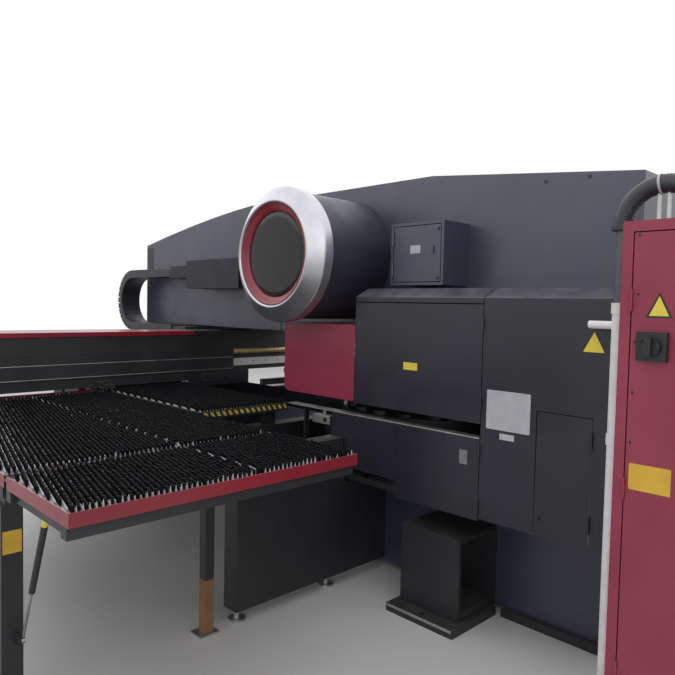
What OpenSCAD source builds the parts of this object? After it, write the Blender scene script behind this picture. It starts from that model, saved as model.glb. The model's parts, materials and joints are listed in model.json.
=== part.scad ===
// CNC turret punch press, in millimetres.
// The origin is on the floor below the punch. X runs across the machine and Z is up.
// Y runs from the operator's end (minus) to the electrical cabinet (plus).

/* [Frame] */
// Width of the closed frame
frame_w = 600; // [500:20:700]
// Punch axis to the front face of the frame
frame_front = 2450; // [2350:1:2550]
// Punch axis to the rear face of the frame
frame_rear = 1735; // [1700:1:1800]
// Height of the frame at its crown
frame_top = 2200; // [2150:10:2300]
// Fall of the arched top at the front end
front_fall = 214; // [100:2:300]
// Fall of the straight slope at the rear end
rear_fall = 112; // [60:2:160]
// Thickness of the frame's plates
frame_wall = 40; // [25:1:50]
// Underside of the arm
arm_under = 1325; // [1320:1:1345]
// Top of the frame's bed
bed_top = 820; // [760:5:840]
// Punch axis to the front column
throat = 1765; // [1755:1:1850]
// Thickness of the foot plates
foot_t = 40; // [20:2:60]

/* [Turrets] */
// Radius of the circle that the tools stand on
track_r = 500; // [480:1:510]
// Radius of both turret discs
turret_r = 560; // [550:1:570]
// Number of tool stations
stations = 20; // [12:2:24]
// Thickness of the upper disc
upper_t = 135; // [110:1:140]
// Thickness of the lower disc
lower_t = 140; // [110:1:150]
// Radius of a punch's body
punch_r = 30; // [20:1:34]
// Length of a punch, head included
punch_len = 225; // [200:1:225]
// Radius of a die
die_r = 45; // [40:1:50]
// Radius of the turret shafts
turret_shaft_r = 70; // [50:1:80]
// Radius of the toothed pulley on each turret
hub_r = 200; // [150:5:240]
// Radius of the small drive pulleys
drive_pulley_r = 36; // [30:1:38]

/* [Press drive] */
// Height of the crankshaft
crank_z = 1773; // [1765:1:1790]
// Eccentricity of the crank
crank_e = 16; // [8:1:16]
// Radius of the crankshaft
crank_r = 60; // [45:1:70]
// Radius of the drum-shaped motor housing
drum_r = 352; // [335:1:356]
// Reach of the drum beyond the frame's side
drum_len = 580; // [540:1:620]
// Outer radius of the drum's rim
rim_r = 371; // [368:1:385]
// Thickness of the rim along the drum
rim_t = 120; // [105:1:135]
// Radius of the opening in the rim
rim_open_r = 277; // [260:1:285]
// Radius of the ram
ram_r = 55; // [40:1:60]
// Stroke of the ram
ram_stroke = 30; // [20:1:32]

/* [Covers] */
// Distance of the cover faces from the middle of the machine
cover_x = 650; // [630:1:670]
// Thickness of the sheet metal
sheet = 3; // [2:0.5:5]
// Depth of the folded edges
fold = 25; // [15:1:30]
// Gap between neighbouring covers
seam = 4; // [3:0.5:6]

/* [Table] */
// Height of the table plates
plate_top = 918; // [910:1:922]
// Height of the red rims
rim_top = 930; // [925:1:935]
// Height of the brush tips
brush_top = 948; // [940:0.5:949]
// Pitch of the brush rows
brush_pitch = 50; // [30:5:80]
// Angle of the brush rows to the Y axis
brush_angle = 12; // [0:1:20]
// Inner edge of each moving table
table_in = 1293; // [1293:1:1300]
// Outer edge of each moving table
table_out = 2405; // [2380:5:2450]
// Rear edge of the moving tables, flap included
table_rear = 1078; // [1040:1:1110]
// Hinge line of the flap
flap_y = 564; // [540:1:580]

/* [Beam and carriage] */
// Punch axis to the working face of the beam
beam_face = 1245; // [1240:1:1260]
// Depth of the beam
beam_d = 260; // [220:5:262]
// Underside of the beam
beam_z = 1000; // [1000:1:1010]
// Height of the beam
beam_h = 270; // [240:1:272]
// Left end of the carriage
carriage_end = 274; // [250:1:320]
// Length of the carriage
carriage_len = 2000; // [1800:10:2030]
// Distance between two clamps
clamp_pitch = 770; // [600:10:800]
// Width of a clamp
clamp_w = 90; // [70:2:120]

/* [Cabinet] */
// Front face of the cabinet
cabinet_x = 860; // [820:5:900]
// Depth of the cabinet
cabinet_d = 450; // [400:10:500]
// Left edge of the cabinet's door side
cabinet_y = 1881; // [1881:1:1900]
// Width of the cabinet
cabinet_w = 707; // [600:1:760]
// Height of the cabinet
cabinet_h = 1805; // [1600:5:2000]

/* [Hidden] */
$fn = 64;
fit = 0.3;
run = 0.05;
black = "#202226";
dark = "#2b2d32";
red = "#a3202f";
steel = "#9a9da1";
silver = "#c8cacd";
brass = "#b89b54";
side = frame_w / 2;
seat = side + fit;
throat_rear = 1150;
zone_front = 90;
zone_top = 1400;
zone_floor = 600;
punch_tip = 975;
turret_under = punch_tip + 10;
turret_y = track_r;
lower_top = 930;
die_top = brush_top;
die_sink = 15;
drive_y = turret_y + turret_r + 38;
arch_start = 800;
arch_power = 1.4;
slope_start = 635;
crown = [for (s = [0 : 0.1 : 1]) let (y = -frame_front + s * (frame_front - arch_start))
    [y, frame_top - front_fall * pow(1 - s, arch_power)]];
frame_outline = concat([[frame_rear, foot_t], [frame_rear, frame_top - rear_fall],
    [slope_start, frame_top]], [for (i = [10 : -1 : 0]) crown[i]], [[-frame_front, foot_t]]);
inner_crown = [for (s = [0 : 0.1 : 1])
    let (y = -frame_front + frame_wall + s * (frame_front - frame_wall - arch_start))
    [y, frame_top - frame_wall
        - front_fall * pow((-arch_start - y) / (frame_front - arch_start), arch_power)]];
inner_outline = concat([[frame_rear - frame_wall, foot_t + frame_wall],
    [frame_rear - frame_wall, frame_top - rear_fall - frame_wall],
    [slope_start, frame_top - frame_wall]], [for (i = [10 : -1 : 0]) inner_crown[i]],
    [[-frame_front + frame_wall, foot_t + frame_wall]]);

module at_box(x0, x1, y0, y1, z0, z1) {
    translate([x0, y0, z0]) cube([x1 - x0, y1 - y0, z1 - z0]);
}
// An outline given as Y and Z, drawn out along X
module across(x0, x1) {
    translate([x0, 0, 0]) rotate([90, 0, 90]) linear_extrude(x1 - x0) children();
}
// An outline given as X and Z, drawn out along Y
module along(y0, y1) {
    translate([0, y1, 0]) rotate([90, 0, 0]) linear_extrude(y1 - y0) children();
}
module rod_x(x0, x1, y, z, r) { translate([x0, y, z]) rotate([0, 90, 0]) cylinder(r = r, h = x1 - x0); }
module rod_y(x, y0, y1, z, r) { translate([x, y0, z]) rotate([-90, 0, 0]) cylinder(r = r, h = y1 - y0); }
module rod_z(x, y, z0, z1, r) { translate([x, y, z0]) cylinder(r = r, h = z1 - z0); }
module ring_z(x, y, z0, z1, r, bore) {
    translate([x, y, z0]) difference() {
        cylinder(r = r, h = z1 - z0);
        translate([0, 0, -1]) cylinder(r = bore, h = z1 - z0 + 2);
    }
}
module both_sides() {
    children();
    mirror([1, 0, 0]) children();
}

// The closed frame, welded from plates
module window_outline(grow) {
    translate([-throat - grow, bed_top - grow])
        square([throat + throat_rear + 2 * grow, arm_under - bed_top + 2 * grow]);
    translate([-zone_front - grow, zone_floor - grow])
        square([zone_front + throat_rear + 2 * grow, zone_top - zone_floor + 2 * grow]);
}
module main_frame() {
    color(black) difference() {
        union() {
            across(-side, side) difference() {
                polygon(frame_outline);
                window_outline(0);
            }
            both_sides() at_box(side - 1, side + band_t, -frame_front + band_inset, band_rear, arm_under,
                band_top);
        }
        across(-side + frame_wall, side - frame_wall) difference() {
            polygon(inner_outline);
            window_outline(frame_wall);
        }
        rod_x(-side - 10, side + 10, 0, crank_z, bearing_r + fit);
        rod_z(0, 0, zone_top - guide_drop - 1, zone_top + frame_wall + 1, guide_r + fit);
        rod_z(0, turret_y, zone_top - 1, zone_top + frame_wall + 1, turret_bearing_r + fit);
        rod_z(0, turret_y, zone_floor - frame_wall - 1, zone_floor + 1, turret_bearing_r + fit);
        rod_z(0, drive_y, zone_top - 1, zone_top + frame_wall + 1, drive_shaft_r + 8);
    }
}
band_t = 6;
band_inset = 350;
band_rear = -600;
band_top = 1627;
bearing_r = crank_r + 50;
guide_r = ram_r + 40;
guide_drop = 60;
turret_bearing_r = turret_shaft_r + 40;
drive_shaft_r = 22;

// Plates under the frame and the box-shaped outriggers that steady it
module foot_plates() {
    plate_over = 30;
    outrigger_x = 696;
    outrigger_h = 430;
    outrigger_l = 395;
    rib = 25;
    anchor_r = 13;
    color(dark) {
        at_box(-side - plate_over, side + plate_over, -frame_front, -throat, 0, foot_t);
        at_box(-side - plate_over, side + plate_over, throat_rear, frame_rear, 0, foot_t);
        both_sides() for (y = [-1990, 729]) {
            difference() {
                at_box(side + plate_over, outrigger_x, y, y + outrigger_l, 0, foot_t);
                rod_z((outrigger_x + cover_x - 30) / 2, y + outrigger_l / 2, -1, foot_t + 1, anchor_r);
            }
            difference() {
                at_box(seat, cover_x - 30, y + rib, y + outrigger_l - rib, foot_t, outrigger_h);
                at_box(seat + 20, cover_x - 50, y, y + outrigger_l, foot_t + 40, outrigger_h - 20);
            }
        }
    }
}

// Bearings of the crankshaft and of the turret shafts
module bearings() {
    cap_t = 30;
    color(steel) {
        both_sides() rotate([0, 90, 0]) translate([0, 0, 0])
            ring_z(-crank_z, 0, side - frame_wall, side, bearing_r, crank_r + run);
        ring_z(0, turret_y, zone_top, zone_top + frame_wall, turret_bearing_r, turret_shaft_r + run);
        ring_z(0, turret_y, zone_floor - frame_wall, zone_floor, turret_bearing_r,
            turret_shaft_r + run);
        ring_z(0, turret_y, zone_floor, zone_floor + 20 - fit, turret_bearing_r + 20,
            turret_shaft_r + run);
        ring_z(0, drive_y, zone_floor, zone_floor + 30, drive_pulley_r, drive_shaft_r + run);
        translate([-side - cap_t - 40 - fit, 0, crank_z]) rotate([0, 90, 0]) difference() {
            cylinder(r = bearing_r + 30, h = cap_t + 40);
            translate([0, 0, cap_t]) cylinder(r = crank_r + 10, h = 41);
        }
    }
}

// Servo motor in its drum, with the crankshaft that it turns
drum_back = side + drum_len - rim_t;
rotor_r = 220;
rotor_x0 = side + 60;
rotor_x1 = side + 300;
module crankshaft() {
    sheave_r = 90;
    sheave_t = 160;
    color(steel) {
        rod_x(-side - 32, rotor_x1 + 40, 0, crank_z, crank_r);
        rod_x(-sheave_t / 2, sheave_t / 2, 0, crank_z + crank_e, sheave_r);
        difference() {
            rod_x(rotor_x0, rotor_x1, 0, crank_z, rotor_r);
            for (a = [0 : 60 : 300])
                rod_x(rotor_x0 - 1, rotor_x1 + 1, 140 * cos(a), crank_z + 140 * sin(a), 35);
        }
    }
}
module servo_stator() {
    stator_r = drum_r - 12;
    color(brass) translate([rotor_x0, 0, crank_z]) rotate([0, 90, 0]) difference() {
        cylinder(r = stator_r, h = rotor_x1 - rotor_x0);
        translate([0, 0, -1]) cylinder(r = rotor_r + 2, h = rotor_x1 - rotor_x0 + 2);
    }
}
module drum_housing() {
    shell = 12 - run;
    back_plate = 20;
    color(black) translate([seat, 0, crank_z]) rotate([0, 90, 0]) difference() {
        cylinder(r = drum_r, h = drum_back - seat);
        translate([0, 0, back_plate]) cylinder(r = drum_r - shell, h = drum_back);
        translate([0, 0, -1]) cylinder(r = crank_r + 4, h = back_plate + 2);
    }
}
// The rim leans outwards to its opening and has a plain seat on the drum
rim_seat = 41;
module drum_ring() {
    lean = 81;
    lip = 6;
    color(silver) translate([drum_back, 0, crank_z]) rotate([0, 90, 0]) rotate_extrude($fn = 96)
        difference() {
            polygon([[rim_open_r, 0], [rim_r, 0], [rim_r, rim_t - 70], [rim_r - 7, rim_t - 54],
                [rim_r - lean / 2, rim_t - 28], [rim_r - lean + 5, rim_t - 3],
                [rim_open_r + lip, rim_t], [rim_open_r, rim_t - lip]]);
            translate([rim_open_r - 1, -1]) square([drum_r - 12 - rim_open_r, rim_seat]);
        }
}
module drum_face() {
    disc_r = 230;
    disc_t = 10;
    disc_x = rim_t - 35 - disc_t;
    face_x = rim_t - 6;
    color(red) translate([drum_back + rim_seat, 0, crank_z]) rotate([0, 90, 0]) difference() {
        cylinder(r = rim_open_r - fit, h = face_x - rim_seat);
        translate([0, 0, disc_x - rim_seat]) cylinder(r = disc_r + fit, h = disc_t + 1);
        translate([0, 0, disc_x + disc_t - rim_seat])
            cylinder(r1 = disc_r + fit, r2 = rim_open_r - 3, h = face_x - disc_x - disc_t + 0.01);
    }
    color("#101113") translate([drum_back + disc_x, 0, crank_z]) rotate([0, 90, 0])
        cylinder(r = disc_r, h = disc_t);
    color(red) rod_x(drum_back, drum_back + rim_seat, 0, crank_z, 60);
    color(red) rod_x(drum_back, drum_back + 12, 0, crank_z, drum_r - 13 - fit);
}

// Punching head
rod_eye_r = 155;
rod_pin_z = 1560;
module ram_guide() {
    color(steel) {
        ring_z(0, 0, zone_top - guide_drop, zone_top + frame_wall, guide_r, ram_r + run);
        ring_z(0, 0, zone_top + frame_wall, zone_top + frame_wall + 30, guide_r + 40, ram_r + run);
    }
}
striker_z = punch_tip + punch_len + ram_stroke + 2;
module ram() {
    ear = 44;
    color(steel) difference() {
        union() {
            rod_z(0, 0, striker_z + 40, rod_pin_z + ear, ram_r);
            rod_z(0, 0, striker_z, striker_z + 40, punch_r + 12);
        }
        at_box(-20 - fit, 20 + fit, -ram_r - 1, ram_r + 1, rod_pin_z - ear - 10, rod_pin_z + ear + 1);
        rod_x(-ram_r - 1, ram_r + 1, 0, rod_pin_z, 18 + run);
    }
}
module connecting_rod() {
    eye_t = 60;
    eye_bore = 90 + crank_e + ram_stroke / 2 + 6;
    eye_z = crank_z + ram_stroke / 2;
    color(steel) {
        difference() {
            union() {
                rod_x(-eye_t / 2, eye_t / 2, 0, eye_z, rod_eye_r);
                at_box(-20, 20, -36, 36, rod_pin_z, eye_z);
                rod_x(-20, 20, 0, rod_pin_z, 36);
            }
            rod_x(-eye_t, eye_t, 0, eye_z, eye_bore);
        }
        rod_x(-ram_r + 8, ram_r - 8, 0, rod_pin_z, 18);
    }
}
// Turrets and tools
module at_station(i) {
    a = -90 + i * 360 / stations;
    translate([track_r * cos(a), turret_y + track_r * sin(a), 0]) children();
}
belt_t = 8;
belt_clear = 0.8;
belt_h = 46;
upper_belt_z = turret_under + upper_t + 112;
lower_belt_z = zone_floor + 40;
module upper_turret() {
    top = turret_under + upper_t;
    pulley_top = upper_belt_z + belt_h + 10;
    collar_z = zone_top + frame_wall;
    color(steel) {
        difference() {
            rod_z(0, turret_y, turret_under, top, turret_r);
            for (i = [0 : stations - 1]) at_station(i)
                rod_z(0, 0, turret_under - 1, top + 1, punch_r + run);
        }
        rod_z(0, turret_y, top + run, pulley_top, hub_r);
        rod_z(0, turret_y, pulley_top + run, collar_z + 60, turret_shaft_r);
        rod_z(0, turret_y, collar_z + fit, collar_z + 30, turret_shaft_r + 20);
    }
}
module lower_turret() {
    bottom = lower_top - lower_t;
    pulley_z = zone_floor + 20;
    color(steel) {
        difference() {
            rod_z(0, turret_y, bottom, lower_top, turret_r);
            for (i = [0 : stations - 1]) at_station(i) {
                rod_z(0, 0, bottom - 1, lower_top + 1, punch_r + 2);
                rod_z(0, 0, lower_top - die_sink, lower_top + 1, die_r + run);
            }
        }
        rod_z(0, turret_y, pulley_z, bottom - run, hub_r);
        rod_z(0, turret_y, zone_floor - frame_wall - 30, pulley_z - run, turret_shaft_r);
    }
}
module punch() {
    head_h = 49;
    tip_r = punch_r - 12;
    union() {
        rod_z(0, 0, punch_tip + 30, punch_tip + punch_len, punch_r);
        rod_z(0, 0, punch_tip, punch_tip + 30, tip_r);
        rod_z(0, 0, punch_tip + punch_len - head_h, punch_tip + punch_len, punch_r + 8);
    }
}
module upper_punches() {
    color(silver) for (i = [1 : stations - 1]) at_station(i) punch();
}
module struck_punch() { color(silver) punch(); }
module dies() {
    color(silver) for (i = [0 : stations - 1]) at_station(i)
        ring_z(0, 0, lower_top - die_sink, die_top, die_r, punch_r - 10);
}
module die_support() {
    block = 110;
    color(dark) difference() {
        at_box(-block / 2, block / 2, -block / 2, block / 2, zone_floor, lower_top - lower_t - fit);
        rod_z(0, 0, zone_floor - 1, lower_top, punch_r + 4);
    }
}
// A belt's outline around the turret's pulley and the drive pulley
module belt_outline(over) {
    hull() {
        translate([0, turret_y]) circle(r = hub_r + over, $fn = 48);
        translate([0, drive_y]) circle(r = drive_pulley_r + over, $fn = 32);
    }
}
module turret_belts() {
    color("#191a1c") for (z = [upper_belt_z, lower_belt_z]) translate([0, 0, z])
        linear_extrude(belt_h) difference() {
            belt_outline(belt_t);
            belt_outline(belt_clear);
        }
}
module turret_drive_shaft() {
    color(steel) {
        rod_z(0, drive_y, zone_floor + fit, zone_top + frame_wall + 60, drive_shaft_r);
        for (z = [upper_belt_z, lower_belt_z])
            rod_z(0, drive_y, z - 4, z + belt_h + 4, drive_pulley_r);
    }
}
module turret_motor() {
    body = 180;
    z0 = zone_top + frame_wall;
    color(dark) difference() {
        union() {
            at_box(-body / 2, body / 2, drive_y - 110, drive_y + 70, z0, z0 + 16);
            at_box(-body / 2 + 10, body / 2 - 10, drive_y - 80, drive_y + 60, z0 + 16, z0 + 270);
        }
        rod_z(0, drive_y, z0 - 1, z0 + 70, drive_shaft_r + fit);
    }
}

// Sheet-metal covers. A panel faces +X and has folded edges.
module panel(y0, y1, z0, z1, x = cover_x) {
    difference() {
        at_box(x - fold, x, y0, y1, z0, z1);
        at_box(x - fold - 1, x - sheet, y0 + sheet, y1 - sheet, z0 + sheet, z1 - sheet);
    }
}
knuckle_r = 5;
hinge_pin_r = 2.5;
knuckle_len = 24;
hinge_tab = 16;
// The moving half of a hinge at the edge y of a panel, with the door on the side way (-1 or 1)
module door_half(x, y, z, way) {
    xc = x + knuckle_r + fit;
    difference() {
        union() {
            rod_z(xc, y, z - knuckle_len / 2, z + knuckle_len / 2, knuckle_r);
            translate([x, y, z - knuckle_len / 2]) mirror([0, way < 0 ? 1 : 0, 0])
                cube([2, hinge_tab, knuckle_len]);
        }
        rod_z(xc, y, z - knuckle_len, z + knuckle_len, hinge_pin_r + run);
        at_box(x - 1, x + fit, y - seam, y + seam, z - knuckle_len, z + knuckle_len);
    }
}
// The fixed half, with the pin and a knuckle above and below the door's
module post_half(x, y, z, way) {
    xc = x + knuckle_r + fit;
    for (s = [-1, 1]) {
        z0 = z + s * (knuckle_len + fit) - knuckle_len / 2;
        rod_z(xc, y, z0, z0 + knuckle_len, knuckle_r);
        translate([x, y, z0]) mirror([0, way < 0 ? 1 : 0, 0]) cube([2, hinge_tab, knuckle_len]);
    }
    rod_z(xc, y, z - 1.5 * knuckle_len, z + 1.5 * knuckle_len, hinge_pin_r);
}

// Places of the covers
guard_y0 = -141;
guard_y1 = 427;
guard_z0 = 1000;
hood_y0 = 431;
hood_y1 = 1206;
hood_z0 = 992;
hood_z1 = 1548;
hood_top = 1594;
hood_back = cover_x - 90;
rear_y0 = hood_y1 + seam;
rear_y1 = 1860;
rear_z0 = 570;
rear_door_y0 = 1479;
rear_door_y1 = 1709;
rear_door_z0 = 590;
rear_door_z1 = 1083;
lower_y0 = 266;
lower_y1 = 720;
lower_z0 = 641;
lower_z1 = 925;
low_door_y0 = lower_y1 + seam;
low_door_y1 = hood_y1;
low_door_z0 = 558;
guard_corner = 45;

module red_guard_shape() {
    difference() {
        across(seat, cover_x) hull() {
            translate([guard_y0 + guard_corner, guard_z0 + guard_corner]) circle(r = guard_corner, $fn = 32);
            translate([guard_y1 - 1, guard_z0]) square([1, zone_top - guard_z0]);
            translate([guard_y0, zone_top - 1]) square([1, 1]);
        }
        across(seat - 1, cover_x - sheet) union() {
            translate([guard_y0 + sheet, guard_z0 + guard_corner]) square([guard_y1 - guard_y0, zone_top
                - sheet - guard_z0 - guard_corner]);
            translate([guard_y0 + guard_corner, guard_z0 - 1]) square([guard_y1 - guard_y0, 60]);
        }
    }
}
module red_guard() { color(red) red_guard_shape(); }
// The sloped top of the tall covers, drawn along Y
module hood_profile(over) {
    polygon([[seat, hood_top - over], [hood_back, hood_top - over], [cover_x - over, hood_z1 - over],
        [cover_x - over, hood_z1 - fold], [seat, hood_z1 - fold]]);
}
module hood_roof(y0, y1) {
    along(y0, y1) difference() {
        hood_profile(0);
        translate([-1, 0]) hood_profile(sheet);
        translate([seat - 1, 0]) square([cover_x - sheet - seat, hood_z1 - fold + 1]);
    }
}
module turret_hood() {
    color(black) {
        hood_roof(hood_y0, hood_y1);
        along(hood_y0, hood_y0 + sheet) {
            hood_profile(0);
            translate([seat, zone_top + seam])
                square([cover_x - fold - 1 - seat, hood_z1 - fold - zone_top - seam + 1]);
        }
    }
}
module turret_door() {
    z1 = hood_z1 - fold - seam;
    color(black) {
        panel(hood_y0, hood_y1, hood_z0, z1);
        for (z = [hood_z0 + 90, z1 - 90]) door_half(cover_x, hood_y1 + seam / 2, z, -1);
    }
}
module rear_cover() {
    color(black) {
        hood_roof(rear_y0, rear_y1);
        difference() {
            union() {
                panel(rear_y0, rear_y1, rear_z0, hood_z1 - fold);
                for (y = [rear_y0, rear_y1 - sheet]) along(y, y + sheet) polygon([[seat, rear_z0],
                    [cover_x, rear_z0], [cover_x, hood_z1], [hood_back, hood_top], [seat, hood_top]]);
            }
            at_box(cover_x - fold - 1, cover_x + 1, rear_door_y0 - seam, rear_door_y1 + seam,
                rear_door_z0 - seam, rear_door_z1 + seam);
        }
        for (z = [hood_z0 + 90, hood_z1 - fold - seam - 90])
            post_half(cover_x, hood_y1 + seam / 2, z, 1);
        for (z = [low_door_z0 + 70, lower_z1 - 60])
            post_half(cover_x, hood_y1 + seam / 2, z, 1);
        for (z = [rear_door_z0 + 80, rear_door_z1 - 80])
            post_half(cover_x, rear_door_y1 + seam / 2, z, 1);
    }
}
module rear_door() {
    knob_r = 9;
    color(black) {
        panel(rear_door_y0, rear_door_y1, rear_door_z0, rear_door_z1);
        for (z = [rear_door_z0 + 80, rear_door_z1 - 80])
            door_half(cover_x, rear_door_y1 + seam / 2, z, -1);
        rod_x(cover_x - 1, cover_x + 14, rear_door_y0 + 18, rear_door_z0 + 56, knob_r);
    }
}
module lower_cover() { color(black) panel(lower_y0, lower_y1, lower_z0, lower_z1); }
module lower_door() {
    lock_y = 1125;
    lock_z = 832;
    color(black) {
        panel(low_door_y0, low_door_y1, low_door_z0, lower_z1);
        for (z = [low_door_z0 + 70, lower_z1 - 60])
            door_half(cover_x, hood_y1 + seam / 2, z, -1);
    }
    color(silver) {
        at_box(cover_x - 1, cover_x + 2, lock_y - 21, lock_y + 21, lock_z - 32, lock_z + 32);
        rod_x(cover_x + 1, cover_x + 8, lock_y, lock_z + 8, 9);
    }
}
// Welded frame that carries the lower covers, with the bright strip along their top
module cover_frame() {
    bar = 30;
    x1 = cover_x - fold - fit;
    strip_h = 6;
    color(dark) {
        both_sides() {
            for (y = [-95, 300, 690, 1150]) at_box(seat, x1, y, y + bar, zone_floor - bar, zone_floor);
            at_box(x1 - bar, x1, -95, 1150 + bar, zone_floor - bar, zone_floor);
            for (y = [10, lower_y0 + 10, lower_y1 - 12, hood_y1 - bar])
                at_box(x1 - bar, x1, y, y + (y < 20 ? 12 : bar), zone_floor - 1, lower_z1 + 1);
            at_box(x1 - bar, cover_x + 3, -95, hood_y1, lower_z1 + fit, lower_z1 + strip_h);
        }
    }
}
// The hidden side has the same covers, all fixed
module left_covers() {
    mirror([1, 0, 0]) {
        color(red) red_guard_shape();
        color(black) {
            hood_roof(hood_y0, hood_y1);
            hood_roof(rear_y0, rear_y1);
            panel(hood_y0, hood_y1, hood_z0, hood_z1 - fold + 1);
            panel(rear_y0, rear_y1, rear_z0, hood_z1 - fold + 1);
            along(hood_y0, hood_y0 + sheet) polygon([[seat, zone_top + seam],
                [cover_x, zone_top + seam], [cover_x, hood_z1], [hood_back, hood_top], [seat, hood_top]]);
            for (y = [rear_y0, rear_y1 - sheet]) along(y, y + sheet) polygon([[seat, rear_z0],
                [cover_x, rear_z0], [cover_x, hood_z1], [hood_back, hood_top], [seat, hood_top]]);
            panel(lower_y0, lower_y1, lower_z0, lower_z1);
            panel(low_door_y0, low_door_y1, low_door_z0, lower_z1);
        }
    }
}
// Bases beside the frame, which carry the centre tables and the rails of the beam
base_in = 1181;
base_out = 1341;
base_top = 800;
base_y0 = -2070;
base_y1 = 368;
rail_x = 1272;
rail_w = 20;
rail_top = base_top + 28;
screw_x = 1215;
screw_z = base_top + 41;
screw_r = 20;
journal_r = 12;
bearing_t = 30;
y_screw_y0 = -1850;
y_screw_y1 = 250;
centre_y0 = -1720;
centre_y1 = -95;
centre_x0 = cover_x + 8;
centre_x1 = table_in - 42;
rim_z = rim_top - 42;
floor_rail_t = 10;
column_x0 = table_out - 102;
column_x1 = table_out - 30;
column_y0 = [335, -1000];
column_w = 100;
roller_r = 50;
base_cross_y = [-1650, -900, -250];
base_cross_w = 100;
base_h = 150;
end_low = 60;
front_plate_t = 43;
rear_plate_t = 100;
plate_x0 = cover_x + 10;
post_x = base_out + 109;
post_w = 48;
post_y = 300;
post_d = 46;
// Levelling foot: a pad on the floor and the screw above it
module foot(x, y) {
    pad_t = 12;
    rod_z(x, y, 0, pad_t, 42);
    rod_z(x, y, pad_t + run, end_low - run, 14);
}
module end_plate(y0, y1) {
    at_box(plate_x0, base_out, y0, y1, end_low, base_top - 1);
    at_box(seat, plate_x0 + 1, y0, y1, end_low, 555);
}
// Post beside the base that steadies the table, on a foot plate of its own
module guide_post() {
    at_box(post_x, post_x + post_w, post_y, post_y + post_d, 7, base_top);
    at_box(post_x - 19, post_x + post_w + 33, post_y - 20, post_y + post_d + 20, 0, 8);
    at_box(base_out + run, post_x + 1, post_y + 3, post_y + post_d - 3, base_top - 120, base_top - 60);
}
module table_bases() {
    wall = 8;
    on_base = base_top + run;
    color(dark) both_sides() {
        difference() {
            at_box(base_in, base_out, base_y0, base_y1, base_top - base_h, base_top);
            at_box(base_in + wall, base_out - wall, base_y0 + wall, base_y1 - wall,
                base_top - base_h + wall, base_top - wall);
        }
        end_plate(base_y0, base_y0 + front_plate_t);
        end_plate(base_y1 - rear_plate_t, base_y1);
        for (y = base_cross_y)
            at_box(seat, base_in + 1, y, y + base_cross_w, base_top - base_h, base_top);
        for (y = base_cross_y, x = [plate_x0 + 30, base_in - 81])
            at_box(x, x + 60, y + 20, y + base_cross_w - 20, on_base, rim_z);
        for (x = [plate_x0 + 60, base_out - 40]) {
            foot(x, base_y0 + front_plate_t / 2);
            foot(x, base_y1 - rear_plate_t / 2);
        }
        guide_post();
        // Rail of the beam, rail of the table's rollers
        at_box(rail_x - rail_w / 2, rail_x + rail_w / 2, -1900, 300, on_base, rail_top);
        at_box(column_x0 + 15, column_x1 - 15, column_y0[1] - 330, column_y0[0] + column_w + 1060,
            0, floor_rail_t);
    }
    // Bearing blocks and motor of the screw
    color(dark) for (y = [y_screw_y0 - bearing_t, y_screw_y1]) difference() {
        at_box(screw_x - 26, screw_x + 26, y, y + bearing_t, on_base, screw_z + 27);
        rod_y(screw_x, y - 1, y + bearing_t + 1, screw_z, journal_r + run);
    }
    color(dark) at_box(screw_x - 40, screw_x + 40, base_y0 + 30, y_screw_y0 - bearing_t - 20,
        on_base, screw_z + 40);
}
module y_ballscrew() {
    color(steel) {
        rod_y(screw_x, y_screw_y0 + fit, y_screw_y1 - fit, screw_z, screw_r);
        rod_y(screw_x, y_screw_y0 - bearing_t - 12, y_screw_y1 + bearing_t, screw_z, journal_r);
    }
}
module rim(x0, x1, y0, y1, t) {
    difference() {
        at_box(x0, x1, y0, y1, rim_z, rim_top);
        at_box(x0 + t, x1 - t, y0 + t, y1 - t, rim_z - 1, rim_top + 1);
    }
    at_box(x0 + 1, x1 - 1, y0 + 1, y1 - 1, plate_top - 6, plate_top);
}
module centre_tables() {
    color("#3a3c40") both_sides() {
        rim(centre_x0, centre_x1, centre_y0, centre_y1, 5);
        for (y = base_cross_y) at_box(centre_x0 + 1, centre_x1 - 1, y + 20, y + base_cross_w - 20,
            rim_z + fit, plate_top - 5);
    }
}
// A brush mat: a thin base with rows of bristles set at an angle
module mat(x0, x1, y0, y1, shift) {
    row_t = 3;
    base_t = 4;
    lean = (y1 - y0) * tan(brush_angle);
    rows = ceil((x1 - x0 + lean) / brush_pitch);
    at_box(x0, x1, y0, y1, plate_top + run, plate_top + base_t);
    translate([0, 0, plate_top + base_t - 1]) linear_extrude(brush_top - plate_top - base_t + 1)
        intersection() {
            translate([x0, y0]) square([x1 - x0, y1 - y0]);
            for (i = [0 : rows + 1]) let (x = x0 + shift - lean - brush_pitch + i * brush_pitch)
                polygon([[x, y0], [x + row_t, y0], [x + row_t + lean, y1], [x + lean, y1]]);
        }
}
brush_edge = 9;
module centre_brushes() {
    color("#17181a") both_sides()
        mat(centre_x0 + brush_edge, centre_x1 - brush_edge, centre_y0 + brush_edge, centre_y1 - 16, 10);
}

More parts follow.
